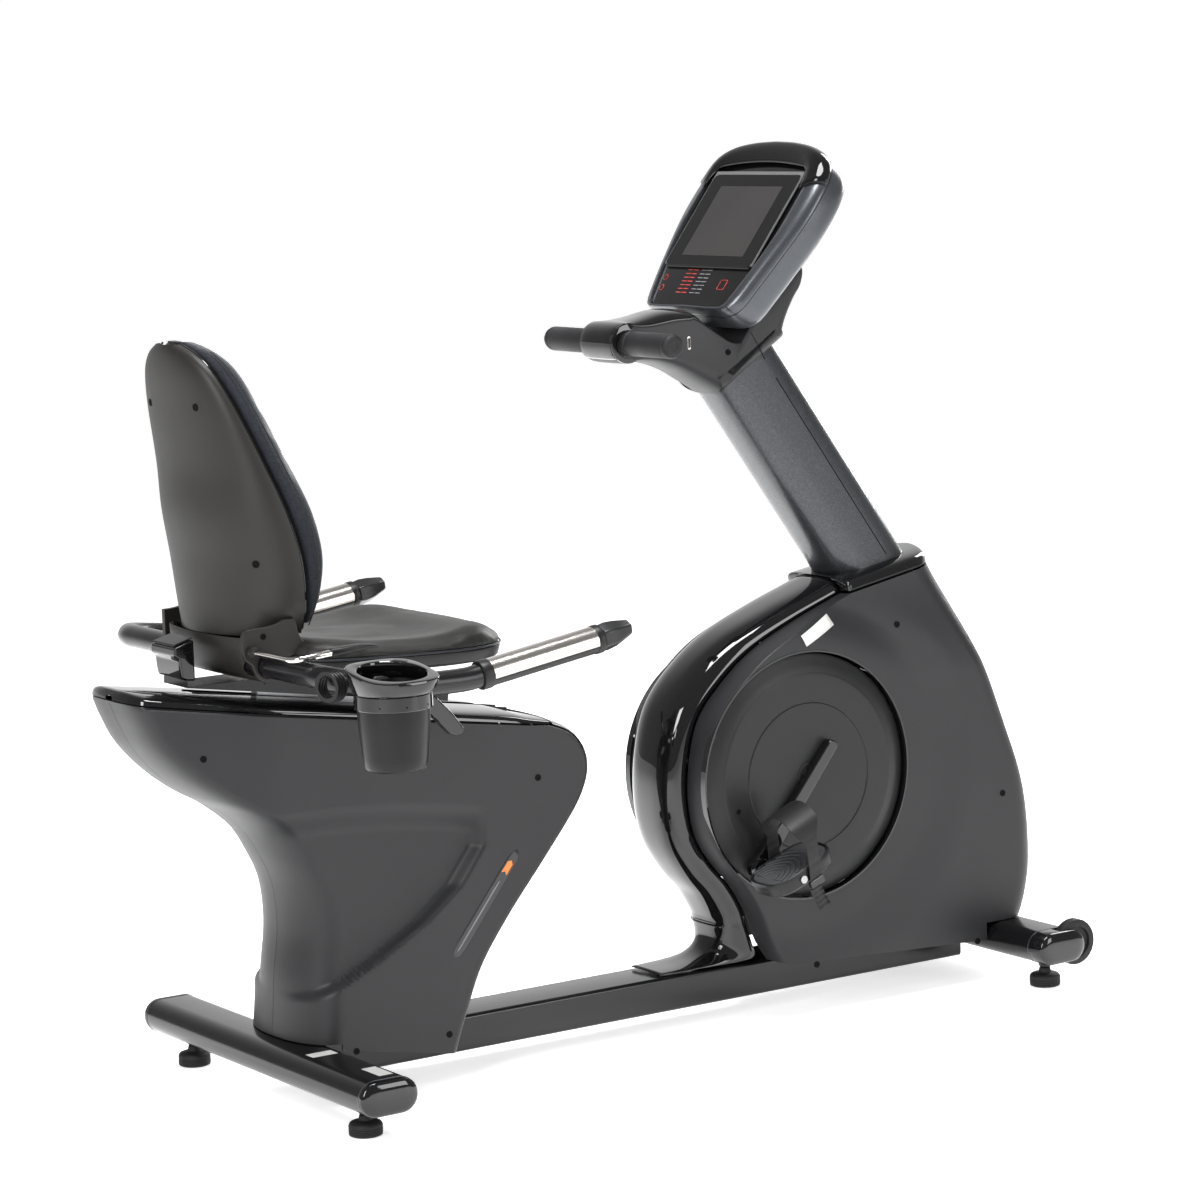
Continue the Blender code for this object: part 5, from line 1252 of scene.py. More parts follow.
def pedal(word, side, tip):
    """A moulded pedal: a rim round a grey tread with curved ribs, and a ribbed toe strap."""
    body = f"pedal_{word}"
    turn = Matrix.Rotation(PEDAL_PITCH, 3, "Y")
    centre = tip + Vector((0.0, side * PEDAL_Y, 0.0))

    def put(x, y, z):
        return centre + turn @ Vector((x, side * y, z))

    def ring(z, grow):
        return [
            put(0.014 + grow * 0.061 * signed_power(c, 0.62),
                grow * 0.0465 * signed_power(s, 0.62), z)
            for c, s in round_steps(72)
        ]

    levels = (
        (-0.0130, 0.84), (-0.0120, 0.90), (-0.0080, 0.97), (0.0040, 1.0), (0.0100, 1.0),
        (0.0120, 0.985), (0.0126, 0.965), (0.0120, 0.94), (0.0095, 0.925),
    )
    rings = [ring(z, grow) for z, grow in levels]
    loft(f"pedal_body_{word}", rings, BLACK_MOULDED, body, f"pedal_{word}", 30.0)
    ribs = []
    for i in range(7):
        radius = 0.016 + 0.0082 * i
        path = []
        for k in range(33):
            angle = math.radians(-88 + 176 * k / 32)
            x, y = -0.030 + radius * 1.15 * math.cos(angle), radius * 0.92 * math.sin(angle)
            if abs(y) < 0.0395 and x < 0.066 - 0.012 * (abs(y) / 0.04) ** 4:
                path.append(put(x, y, 0.0116))
        if len(path) > 3:
            ribs.append(sweep_mesh(path, 0.0019, 8))
    plate_rings = [ring(0.0088, 0.915), ring(0.0108, 0.905), ring(0.0112, 0.89)]
    ribs.append(loft_mesh(plate_rings))
    merged(f"pedal_tread_{word}", ribs, TREAD_GREY, body)
    sleeve = [(0.0, 0.1445), (0.0095, 0.1445), (0.0115, 0.1430), (0.0115, 0.1370), (0.0085, 0.1355),
              (0.0, 0.1355)]
    turned(f"pedal_sleeve_{word}", sleeve, tip, (0, side, 0), GLOSS, body)
    control = (
        (-0.0505, 0.0, -0.030), (-0.0515, 0.0, 0.015), (-0.0490, 0.0, 0.050), (-0.0330, 0.0, 0.076),
        (0.0, 0.0, 0.083), (0.0330, 0.0, 0.070), (0.0490, 0.0, 0.040), (0.0510, 0.0, 0.010),
        (0.0495, 0.0, -0.022),
    )
    path = spline(control, 90)
    rows = []
    for p in path:
        wide = blend(0.040, 0.072, p.z)
        flare = 0.011 + 0.015 * wide
        lean = 0.0205 + 0.34 * p.z
        rib = 0.0003 * math.sin(2 * math.pi * p.z / 0.0042) * (1 - wide)
        push = Vector((0.0, p.x, p.z - 0.02)).normalized() * rib
        rows.append([
            put(lean + flare * t, p.x + push.y, p.z + push.z)
            for t in (-1.0, -0.9, -0.45, 0.0, 0.45, 0.9, 1.0)
        ])
    strap = piece(f"strap_{word}", grid_mesh(rows, (0, 0, 1)), STRAP, body, f"pedal_strap_{word}")
    walled(strap, 0.0022, 0.0)
    rounded(strap, 0.0005, 2)
    bits = []
    for edge, drop in ((0.0500, -0.014), (-0.0495, -0.012)):
        bm = box_mesh((0.026, 0.0075, 0.011), (0, 0, 0))
        shift = Matrix.Translation(put(0.0175, edge, drop)) @ turn.to_4x4()
        bmesh.ops.transform(bm, matrix=shift, verts=bm.verts)
        bits.append(bm)
    rounded(merged(f"strap_buckles_{word}", bits, GLOSS, body), 0.0014, 2)
    rows = []
    for i in range(28):
        z = -0.020 - 0.034 * i / 27
        y = 0.0512 + 0.0012 * math.sin(2 * math.pi * i / 6) * 0.35 + 0.004 * (i / 27) ** 2
        rows.append([put(0.0110 + w, y, z) for w in (-0.0105, -0.004, 0.004, 0.0105)])
    tail = piece(f"strap_tail_{word}", grid_mesh(rows, (0, side, 0)), STRAP, body)
    walled(tail, 0.0022, 0.0)


def inner_pieces():
    """The hidden machine parts keep their frame meshes and take their own finishes."""
    finishes = {
        "seat_post": FRAME_PAINT, "front_post": FRAME_PAINT, "slide_rail": ALUMINIUM,
        "bottom_bracket": STEEL, "flywheel_fork": STEEL, "brake_coils": STEEL,
        "drive_belt": RUBBER, "crank_axle": STEEL, "drive_pulley": ALUMINIUM,
        "flywheel": CAST_IRON, "idler_wheel": STEEL,
    }
    for node, finish in finishes.items():
        obj = frame["nodes"][node]
        obj.data.materials.clear()
        obj.data.materials.append(finish)


# ---------------------------------------------------------------- console and its neck
def console_outline(inset=0.0, face=False):
    """The console's outline as (across, up): its widest line, or the smaller edge of its face."""
    wide = (
        (0.0, 0.0, -0.122), (0.060, 0.0, -0.124), (0.098, 0.0, -0.122), (0.119, 0.0, -0.109),
        (0.131, 0.0, -0.070), (0.141, 0.0, -0.030), (0.154, 0.0, 0.027), (0.159, 0.0, 0.070),
        (0.156, 0.0, 0.115), (0.141, 0.0, 0.147), (0.105, 0.0, 0.169), (0.055, 0.0, 0.179),
        (0.0, 0.0, 0.182),
    )
    small = (
        (0.0, 0.0, -0.120), (0.055, 0.0, -0.1215), (0.086, 0.0, -0.1205), (0.100, 0.0, -0.116),
        (0.112, 0.0, -0.080), (0.122, 0.0, -0.040), (0.132, 0.0, 0.020), (0.1335, 0.0, 0.070),
        (0.131, 0.0, 0.108), (0.123, 0.0, 0.138), (0.094, 0.0, 0.159), (0.050, 0.0, 0.168),
        (0.0, 0.0, 0.171),
    )
    shrink = 1 - inset / 0.15
    points = [(p.x * shrink, p.z * shrink) for p in spline(small if face else wide, 44)]
    return points + [(-x, z) for x, z in points[-2:0:-1]]


def on_console(points):
    return tilted(CONSOLE_TILT, CONSOLE, points)


def console_ring(inset, out, face=0.0):
    """A ring round the console; face moves it from the widest line to the face's edge."""
    wide, small = console_outline(inset), console_outline(inset, face=True)
    return on_console([
        (a + (c - a) * face, b + (d - b) * face, out) for (a, b), (c, d) in zip(wide, small)
    ])


def console_slab(name, width, height, radius, up, low, high, paint, bevel=0.0008):
    """A thin rounded plate on the console's face, between two heights above it."""
    line = rounded_rectangle(width, height, radius)
    rings = [
        on_console([(x, z + up, low) for x, z in line]),
        on_console([(x, z + up, high - bevel) for x, z in line]),
        on_console([(x * (1 - bevel / width * 2), z * (1 - bevel / height * 2) + up, high)
                    for x, z in line]),
    ]
    return loft(name, rings, paint, "frame")


def console():
    back = [
        (0.0022, -0.0100), (0.0, -0.0094), (0.0, -0.0200), (0.0005, -0.0300), (0.0020, -0.0380),
        (0.0045, -0.0445), (0.0090, -0.0500), (0.0160, -0.0545), (0.0280, -0.0580),
        (0.0440, -0.0605), (0.0600, -0.0620),
    ]
    rings = [console_ring(inset, out) for inset, out in back]
    piece("console_shell", loft_mesh(rings, (False, True)), SATIN_GREY, "frame", "console_back",
          30.0)
    rim = [(0.0022, -0.0092, 0.0), (0.0002, -0.0086, 0.0), (0.0, -0.0078, 0.0)]
    for k in range(1, 11):
        t = math.radians(9 * k)
        rim.append((0.0, -0.0078 + 0.0183 * math.sin(t), 1 - math.cos(t)))
    rim += [(0.0012, 0.0112, 1.0), (0.0026, 0.0110, 1.0), (0.0034, 0.0100, 1.0),
            (0.0038, 0.0060, 1.0)]
    rings = [console_ring(*item) for item in rim]
    piece("console_rim", loft_mesh(rings, (False, False)), SATIN_GREY, "frame", (), 30.0)
    front = [
        (0.0042, -0.0060, 1.0), (0.0042, 0.0054, 1.0), (0.0048, 0.0062, 1.0),
        (0.0075, 0.0064, 1.0),
    ]
    rings = [console_ring(*item) for item in front]
    piece("console_face", loft_mesh(rings, (True, True)), BEZEL, "frame", "console_bezel", 30.0)
    console_slab("tablet_body", 0.230, 0.172, 0.010, 0.036, 0.0065, 0.0112, BEZEL, 0.0012)
    console_slab("tablet_glass", 0.225, 0.167, 0.009, 0.036, 0.0110, 0.0121, SCREEN_GLASS, 0.0006)
    console_slab("tablet_display", 0.160, 0.127, 0.002, 0.034, 0.0120, 0.0124, DISPLAY, 0.0001)
    brow()
    key_area()
    port = [(0.0, 0.0012), (0.0012, 0.0012), (0.0020, 0.0004), (0.0020, -0.001), (0.0, -0.001)]
    for word, side in SIDES:
        centre = on_console([(side * 0.1545, 0.037, -0.0130)])[0]
        turned(f"console_dot_{word}", port, centre, (0, side, 0), DARK_HOLE, "frame", steps=24)


def brow():
    """The raised gloss hood along the top of the console's face."""
    wide, small = console_outline(0.0), console_outline(0.0, face=True)
    pairs = [(w, s) for w, s in zip(wide, small) if w[1] > 0.112]
    pairs.sort(key=lambda pair: pair[0][0])
    rows = []
    for i, ((ax, az), (bx, bz)) in enumerate(pairs):
        across = ax / 0.156
        tip = min(i, len(pairs) - 1 - i) / 5.0
        strength = blend(0.0, 1.0, min(tip, 1.0))
        inner_z = 0.142 - 0.012 * across * across
        inner_x = ax * 0.80
        if bz < inner_z + 0.006:
            inner_z = bz - 0.004
        row = [on_console([(ax, az, -0.0058)])[0]]
        for k in range(1, 8):
            t = math.radians(90 * k / 7)
            c = 1 - math.cos(t)
            grow = 0.0012 * strength
            row.append(on_console([(
                ax + (bx - ax) * c * 0.85 + grow * ax, az + (bz - az) * c * 0.85 + grow,
                -0.0058 + (0.0172 + 0.0042 * strength) * math.sin(t))])[0])
        ex, ez = ax + (bx - ax) * 0.85, az + (bz - az) * 0.85
        for k in range(1, 7):
            t = k / 6
            lift = 0.0114 + 0.0042 * strength * (1 - t * t) + 0.0006
            row.append(on_console([(
                ex + (inner_x - ex) * t, ez + (inner_z - ez) * t, lift)])[0])
        rows.append(row)
    out = on_console([(0, 0, 1)])[0] - on_console([(0, 0, 0)])[0]
    hood = piece("console_brow", grid_mesh(rows, out), BEZEL, "frame", (), 60.0)
    walled(hood, 0.0016, 1.0)


def key_area():
    """Touch keys below the tablet: plain ring marks and rows of bars, with no lettering."""
    def ring_mark(name, x, z, radius, paint):
        profile = [(radius - 0.0008, 0.0004), (radius, 0.0004), (radius, 0.0), (radius - 0.0008, 0)]
        centre = on_console([(x, z, 0.0064)])[0]
        axis = on_console([(0, 0, 1)])[0] - on_console([(0, 0, 0)])[0]
        turned(name, profile, centre, axis, paint, "frame", steps=32)

    ring_mark("key_mark_up", 0.098, -0.067, 0.0052, RED)
    ring_mark("key_mark_down", 0.094, -0.086, 0.0052, RED)
    bars, reds = [], []
    for column, x in enumerate((0.036, 0.000)):
        for k in range(7):
            for part in range(2):
                low = (x - 0.0140 + 0.0150 * part, -0.0530 - 0.0068 * k)
                corners = [low, (low[0] + 0.0125, low[1]), (low[0] + 0.0125, low[1] + 0.0013),
                           (low[0], low[1] + 0.0013)]
                rings = [
                    on_console([(a, b, out) for a, b in corners]) for out in (0.0063, 0.0067)
                ]
                (reds if column == 0 else bars).append(loft_mesh(rings))
    merged("key_bars", bars, PRINT, "frame")
    merged("key_bars_red", reds, RED, "frame")
    frame_line = rounded_rectangle(0.017, 0.017, 0.003)
    path = on_console([(x - 0.060, z - 0.077, 0.0067) for x, z in frame_line])
    tube("key_frame", path + path[:1], 0.0005, RED, "frame", sides=8)


def neck_line():
    """The gooseneck's outline at its middle, finely stepped; a point's y is how far in its sides
    stand there."""
    along = (MAST_TOP - MAST_FOOT).normalized()
    across = Vector((along.z, 0.0, -along.x))
    rim = MAST_FOOT.lerp(MAST_TOP, MAST_RIM)
    reach = MAST_DEPTH / 2 + 0.0025
    nose = [Vector((x, 0.002, z)) for x, z in arc((GRIP_BAR.x, GRIP_BAR.z), 0.031, 100, 262, 30)]
    back, front = rim - across * reach, rim + across * reach
    under = spline(
        (tuple(nose[-1]), (0.645, 0.010, 1.0135), (0.680, 0.020, 1.0080), (0.718, 0.027, 0.9945),
         (0.755, 0.030, 0.9740), (back.x, 0.030, back.z)), 30)
    rise = spline(
        ((front.x, 0.030, front.z), (0.9005, 0.026, 1.0500), (0.9060, 0.022, 1.0680),
         (0.9160, 0.018, 1.0900), (0.9270, 0.012, 1.1130), (0.9250, 0.004, 1.1400),
         (0.9050, 0.002, 1.1570)), 26)
    cradle = spline(
        ((0.9050, 0.002, 1.1570), (0.8689, 0.002, 1.1110), (0.8300, 0.002, 1.0600),
         (0.8120, 0.002, 1.0330)), 16)
    crown = spline(
        ((0.8120, 0.002, 1.0330), (0.7930, 0.004, 1.0390), (0.7450, 0.012, 1.0780),
         (0.7300, 0.020, 1.0860), (0.7000, 0.022, 1.0870), (0.6600, 0.019, 1.0800),
         (0.6350, 0.012, 1.0765), tuple(nose[0])), 40)
    return nose + under[1:] + rise + cradle[1:] + crown[1:-1]


def neck_half_width(x):
    return 0.0430 + 0.0966 * (x - 0.622)


def neck_rings(line, levels, lift=0.0):
    """The outline at each level from side to side, rounded inwards towards the sides."""
    inward = []
    for i, point in enumerate(line):
        before, after = line[i - 1], line[(i + 1) % len(line)]
        way = Vector((after.x - before.x, 0.0, after.z - before.z)).normalized()
        inward.append(Vector((-way.z, 0.0, way.x)))
    rings = []
    for f in levels:
        ring = []
        for point, way in zip(line, inward):
            at = Vector((point.x, 0.0, point.z))
            at += way * (point.y * (1 - max(1 - abs(f) ** 2.6, 0.0) ** (1 / 2.6)) - lift)
            ring.append(at + Vector((0.0, f * (neck_half_width(at.x) + lift), 0.0)))
        rings.append(ring)
    return rings


def neck_cover():
    """The gooseneck that carries the cross bar and the console on the mast."""
    levels = [math.sin(math.radians(90 * i / 18)) for i in range(-18, 19)]
    line = neck_line()
    neck = piece("neck_cover", loft_mesh(neck_rings(line, levels)), MATTE, "frame", "neck_cover",
                 30.0)
    socket = [
        mast_section(MAST_FOOT.lerp(MAST_TOP, t), MAST_DEPTH + 0.0012, MAST_WIDTH + 0.0012)
        for t in (0.8, MAST_HIGH + 0.0025)
    ]
    carve(neck, helper(loft_mesh(socket)))
    chosen = [i for i, p in enumerate(line) if p.x < 0.748 and (p.z > 1.062 or p.x < 0.603)]
    chosen.sort(key=lambda i: (i + 60) % len(line))
    rings = neck_rings(line, levels[2:-2], 0.0008)
    rows = [[ring[i] for ring in rings] for i in chosen]
    skin("neck_top", rows, GLOSS, "frame", (0, 0, 1), (), 0.0012, 0.0)
    for word, side in SIDES:
        port_x, half = 0.724, neck_half_width(0.724)
        slot = rounded_rectangle(0.0052, 0.0200, 0.0025)
        rings = [
            [Vector((port_x + a * s, side * (half + out), 1.038 + b * s)) for a, b in slot]
            for out, s in ((-0.004, 1.0), (0.0003, 1.0), (0.0004, 0.8), (-0.0006, 0.7))
        ]
        loft(f"neck_port_{word}", rings, STAINLESS, "frame")
        recess = [
            (0.0200, 0.0012), (0.0285, 0.0012), (0.0300, 0.0004), (0.0300, -0.004),
            (0.0200, -0.004),
        ]
        at = GRIP_BAR + Vector((0.0, side * 0.0425, 0.0))
        turned(f"bar_collar_{word}", recess, at, (0, side, 0), GLOSS, "frame", steps=72)
        seam = [
            Vector((p.x, side * (neck_half_width(p.x) - 0.0004), p.z)) for p in spline(
                ((0.830, 0.0, 1.047), (0.844, 0.0, 1.023), (0.853, 0.0, 1.005)), 12)
        ]
        tube(f"neck_seam_{word}", seam, 0.0008, DARK_HOLE, "frame", sides=8)
        screw_head(f"neck_screw_{word}",
                   Vector((0.790, side * (neck_half_width(0.790) + 0.0002), 1.020)), (0, side, 0),
                   "frame", 0.0046)
    tube("console_bar", [GRIP_BAR + Vector((0, 0.290 * (i / 8 - 0.5), 0)) for i in range(9)],
         0.0125, BAR_PAINT, "frame", "console_bar", 40)
    for word, side in SIDES:
        length, r = GRIP_END_Y - 0.047, GRIP_RADIUS
        start = GRIP_BAR + Vector((0.0, side * 0.047, 0.0))
        profile = [
            (0.0, length - 0.0012), (0.0050, length - 0.0012), (0.0054, length - 0.0004),
            (0.0066, length - 0.0004), (0.0070, length - 0.0010), (0.0110, length - 0.0008),
            (0.0140, length - 0.0018), (0.0165, length - 0.0042), (0.0180, length - 0.0085),
            (r, length - 0.0130), (r - 0.0006, length - 0.0150), (r, length - 0.0170),
        ]
        profile += [(r, 0.012), (r - 0.0004, 0.0105), (r + 0.0006, 0.009), (r + 0.0006, 0.002),
                    (r - 0.001, 0.0), (0.0129, 0.0), (0.0129, 0.1), (0.0, 0.1)]
        name = f"console_grip_{word}"
        turned(name, profile, start, (0, side, 0), GRIP_RUBBER, "frame", name, 72)


SCREEN_GLASS = glossy("screen_glass", (0.004, 0.004, 0.0042), 0.03, 0.2)


def display_with_painted_reflection():
    """A switched-off display: dark grey, with a soft diagonal patch of painted reflection across
    it, a lighter grey that stands in for the studio seen in the glass.
    """
    made = Shader("display_off", (0.026, 0.025, 0.025), 0.07, specular=0.2)
    # Painted reflection: a soft lighter patch in the base colour stands in for the studio reflected
    # in the screen.
    made.tint(made.ramp(made.noise(5.0, 1.0), 0.35, 0.65, 0.0, 0.5, True), (0.034, 0.032, 0.031))
    made.tint(made.ramp(made.noise(1500.0, 0.0), 0.5, 0.7, 0.0, 0.15), (0.05, 0.045, 0.045))
    made.roughen(made.noise(40.0, 3.0), 0.03)
    return made.done()


DISPLAY = display_with_painted_reflection()


# ---------------------------------------------------------------- seat
BACK_LEVELS = (
    # z, side edge x, half width, rear x, cushion front x
    (0.688, 0.004, 0.130, -0.092, 0.020),
    (0.694, 0.004, 0.132, -0.092, 0.026),
    (0.730, 0.002, 0.148, -0.092, 0.038),
    (0.790, -0.005, 0.156, -0.096, 0.046),
    (0.855, -0.022, 0.153, -0.1045, 0.034),
    (0.920, -0.045, 0.141, -0.1065, 0.008),
    (1.000, -0.075, 0.120, -0.1165, -0.024),
    (1.050, -0.093, 0.095, -0.1240, -0.044),
    (1.077, -0.103, 0.066, -0.126, -0.062),
    (1.092, -0.110, 0.030, -0.125, -0.080),
)


def back_levels(steps, first=0):
    """The backrest's levels with smooth ones between them."""
    rows, found = BACK_LEVELS[first:], []
    for i in range(len(rows) - 1):
        a, b = rows[max(i - 1, 0)], rows[i]
        c, d = rows[i + 1], rows[min(i + 2, len(rows) - 1)]
        for k in range(steps):
            t = k / steps
            found.append([
                0.5 * (2 * q + (r - p) * t + (2 * p - 5 * q + 4 * r - s) * t * t
                       + (3 * q - p - 3 * r + s) * t ** 3)
                for p, q, r, s in zip(a, b, c, d)
            ])
    found.append(list(rows[-1]))
    return found


SEAT_SLOPE = 0.035


def seat_ring(z, inset, swell=0.0):
    """A level of the seat: squarer at the back and rounder at the front."""
    ring = []
    for c, s in round_steps(96):
        power = 0.72 if c > 0 else 0.42
        half_x = (SEAT_FRONT - SEAT_REAR) / 2 - inset
        x = (SEAT_FRONT + SEAT_REAR) / 2 + half_x * signed_power(c, power)
        y = (SEAT_HALF_WIDTH - inset) * signed_power(s, power)
        ring.append(Vector((x, y, z + SEAT_SLOPE * (SEAT_FRONT - x) + swell * saddle(x, y))))
    return ring


def saddle(x, y):
    """How far the seat's top stands up: a rise at the back, a dip, and a bolster at the front."""
    t = (x - SEAT_REAR) / (SEAT_FRONT - SEAT_REAR)
    rear = 0.012 * blend(0.45, 0.0, t)
    front = 0.015 * math.exp(-(((t - 0.80) / 0.14) ** 2))
    sides = 0.004 * blend(0.25, 0.85, abs(y) / SEAT_HALF_WIDTH) * blend(1.0, 0.4, t)
    return rear + front + sides


CLOTH_CELL, CLOTH_FRAMES = 0.005, 18


def padded_mesh(name, rings, pressure, most, held):
    """A cushion: the closed form is remeshed, blown up a little as cloth with its base held, and
    its swelling is capped so that it keeps its size."""
    bm = loft_mesh(rings)
    mesh = bpy.data.meshes.new(name)
    bm.to_mesh(mesh)
    bm.free()
    obj = bpy.data.objects.new(name, mesh)
    SCENE.collection.objects.link(obj)
    bpy.context.view_layer.objects.active = obj
    even = obj.modifiers.new("even", "REMESH")
    even.mode = "VOXEL"
    even.voxel_size = CLOTH_CELL
    even.use_smooth_shade = True
    settle(obj)
    start = [vert.co.copy() for vert in obj.data.vertices]
    group = obj.vertex_groups.new(name="held")
    for vert in obj.data.vertices:
        weight = held(vert.co)
        if weight > 0:
            group.add([vert.index], weight, "REPLACE")
    cloth = obj.modifiers.new("cloth", "CLOTH")
    cloth.settings.vertex_group_mass = "held"
    cloth.settings.use_pressure = True
    cloth.settings.uniform_pressure_force = pressure
    cloth.settings.effector_weights.gravity = 0.0
    cloth.settings.quality = 4
    cloth.settings.tension_stiffness = 25.0
    cloth.settings.compression_stiffness = 25.0
    cloth.settings.bending_stiffness = 4.0
    cloth.collision_settings.use_collision = False
    cloth.point_cache.frame_start = 1
    cloth.point_cache.frame_end = CLOTH_FRAMES
    for frame_number in range(1, CLOTH_FRAMES + 1):
        SCENE.frame_set(frame_number)
    settle(obj)
    SCENE.frame_set(1)
    for vert, was in zip(obj.data.vertices, start):
        moved = vert.co - was
        if moved.length > most:
            vert.co = was + moved * (most / moved.length)
    smooth = obj.modifiers.new("smooth", "SMOOTH")
    smooth.factor = 0.5
    smooth.iterations = 6
    finer = obj.modifiers.new("finer", "SUBSURF")
    finer.levels = finer.render_levels = 1
    settle(obj)
    made = bmesh.new()
    made.from_mesh(obj.data)
    bpy.data.objects.remove(obj)
    return made


def seat_pieces():
    pan = [
        seat_ring(z, inset) for z, inset in (
            (0.6176, 0.034), (0.6184, 0.022), (0.6205, 0.012), (0.6240, 0.007), (0.6360, 0.0040),
            (0.6385, 0.0045), (0.6395, 0.0070),
        )
    ]
    loft("seat_pan", pan, BLACK_MOULDED, "seat", "seat_pan", 30.0)
    levels = (
        (0.6402, 0.0080, 0.0), (0.6412, 0.0050, 0.0), (0.6440, 0.0030, 0.15),
        (0.6475, 0.0045, 0.45), (0.6502, 0.0095, 0.75), (0.6522, 0.0180, 0.92),
        (0.6528, 0.0340, 1.0), (0.6515, 0.0560, 1.0), (0.6500, 0.0800, 1.0),
        (0.6492, 0.1050, 1.0), (0.6488, 0.1300, 1.0),
    )
    rings = [seat_ring(z, inset, swell=swell) for z, inset, swell in levels]

    def base(point):
        return 1.0 if point.z < 0.6425 + SEAT_SLOPE * (SEAT_FRONT - point.x) else 0.0

    cushion = padded_mesh("seat_form", rings, 3.5, 0.004, base)
    seat = piece("seat_cushion", cushion, VINYL, "seat", "seat_cushion", 60.0)
    line = seat_ring(0.6416, 0.0036)
    tube("seat_piping", line + line[:2], 0.0015, VINYL_SIDE, "seat", sides=10)


def backrest():
    rows = []
    for z, edge, half, rear, _ in back_levels(9):
        row = []
        for out, depth in arch_steps(56):
            x = edge + (rear - edge) * max(depth, 0.0) ** 0.9
            row.append(Vector((x, half * out, z)))
        rows.append(row)
    skin("backrest_shell", rows, MATTE_WARM, "backrest", (-1, 0, 0), "backrest_shell", 0.003,
         0.001)
    for word, side in SIDES:
        for i, (angle, z) in enumerate(((36.0, 1.006), (55.0, 0.788))):
            level = min(rows, key=lambda row: abs(row[0].z - z))
            k = 28 + side * round(angle / 180 * 56)
            place, near = level[k], rows[rows.index(level) + 1][k]
            way = (level[k + 1] - level[k - 1]).cross(near - place).normalized()
            if way.x > 0:
                way = -way
            screw_head(f"back_screw_{word}_{i}", place, way, "backrest", 0.0056)
    rings = []
    for z, edge, half, _, front in back_levels(5, 1):
        inner, depth = half - 0.0045, front - edge - 0.006
        ring = []
        for c, s in round_steps(72):
            x = edge + 0.0035 + depth * (0.5 + 0.5 * signed_power(c, 0.42))
            ring.append(Vector((x, inner * signed_power(s, 0.62), z + 0.004)))
        rings.append(ring)

    def base(point):
        edge = BACK_LEVELS[-1][1]
        for low, high in zip(BACK_LEVELS, BACK_LEVELS[1:]):
            if low[0] <= point.z < high[0]:
                edge = low[1] + (high[1] - low[1]) * (point.z - low[0]) / (high[0] - low[0])
        return 1.0 if point.x < edge + 0.008 else 0.0

    form = padded_mesh("back_form", rings, 3.0, 0.005, base)
    cushion = piece("backrest_cushion", form, FABRIC, "backrest", "backrest_cushion", 60.0)
    for word, side in SIDES:
        edge_line = [
            Vector((edge + 0.0022, side * (half - 0.0030), z))
            for z, edge, half, _, _ in back_levels(6, 1)
        ]
        tube(f"back_piping_{word}", edge_line, 0.0016, GLOSS, "backrest", sides=10)
        seam_line = [
            Vector((edge + (front - edge) * 0.52, side * (half - 0.0008), z + 0.004))
            for z, edge, half, _, front in back_levels(6, 1)[:-6]
        ]
        tube(f"back_seam_{word}", seam_line, 0.0009, FABRIC_SEAM, "backrest", sides=8)


def backrest_foot():
    """The lower rear cover, and the fin-shaped covers and brackets on the recline pivot."""
    profile = (
        (0.0, 0.0, 0.6872), (0.01, 0.0, 0.6760), (0.04, 0.0, 0.6600), (0.11, 0.0, 0.6440),
        (0.24, 0.0, 0.6320), (0.42, 0.0, 0.6250), (0.62, 0.0, 0.6225), (0.80, 0.0, 0.6220),
    )
    rows = []
    for step in spline(profile, 30):
        row = []
        rear = -0.0935 + 0.0800 * step.x
        half = 0.1270 - 0.0200 * step.x
        front = -0.048
        for out, depth in arch_steps(60):
            x = front + (rear - front) * max(depth, 0.0) ** 0.6
            row.append(Vector((x, half * out, step.z)))
        rows.append(row)
    hold = helper(rod_mesh(0.0190, 0.4, RECLINE, (0, 1, 0), 48))
    foot = skin("backrest_foot", rows, MATTE_WARM, "backrest", (-1, 0, -0.4), (), 0.0025, 0.0006)
    carve(foot, hold)
    outline = [
        (p.x, p.z) for p in spline(
            ((-0.0960, 0.0, 0.6720), (-0.0955, 0.0, 0.6900), (-0.0910, 0.0, 0.7010),
             (-0.0790, 0.0, 0.7035), (-0.0600, 0.0, 0.7040), (-0.0420, 0.0, 0.7065),
             (-0.0300, 0.0, 0.7115)), 20)
    ]
    outline += [(-0.0130, 0.7115)]
    outline += [
        (p.x, p.z) for p in spline(
            ((-0.0110, 0.0, 0.7060), (-0.0085, 0.0, 0.6930), (-0.0030, 0.0, 0.6820),
             (0.0050, 0.0, 0.6735), (0.0135, 0.0, 0.6675)), 12)
    ]
    outline += [(0.0120, 0.6650), (-0.0250, 0.6590), (-0.0345, 0.6440)]
    outline += arc((RECLINE.x, RECLINE.z), 0.0235, 340, 200, 12)[1:-1]
    outline += [(-0.0820, 0.6530), (-0.0930, 0.6620)]
    for word, side in SIDES:
        low, high = sorted((side * 0.1355, side * 0.1440))
        line = outline if side < 0 else [(max(x, -0.072), z) for x, z in outline]
        fin = plate(f"back_fin_{word}", line, low, high, MATTE_WARM, "backrest", 0.0,
                    "backrest_bracket" if side < 0 else ())
        bore = helper(rod_mesh(0.0172, 0.1, RECLINE + Vector((0, side * 0.14, 0)), (0, 1, 0), 48))
        carve(fin, bore)
        rounded(fin, 0.0018, 3, 35.0)
        screw_head(f"fin_screw_{word}", Vector((-0.0635, side * 0.1440, 0.6915)), (0, side, 0),
                   "backrest", 0.0046)
    bush = [(0.0, 0.0080), (0.0046, 0.0080), (0.0080, 0.0070), (0.0088, 0.0050), (0.0088, 0.0),
            (0.0, 0.0)]
    turned("lever_bush", bush, Vector((-0.0820, -0.1440, 0.6720)), (0, -1, 0), BLACK_MOULDED,
           "seat", steps=40)
    block("bracket_bar", (0.014, 0.272, 0.010), (-0.052, 0.0, 0.681), FRAME_PAINT, "backrest",
          0.001)


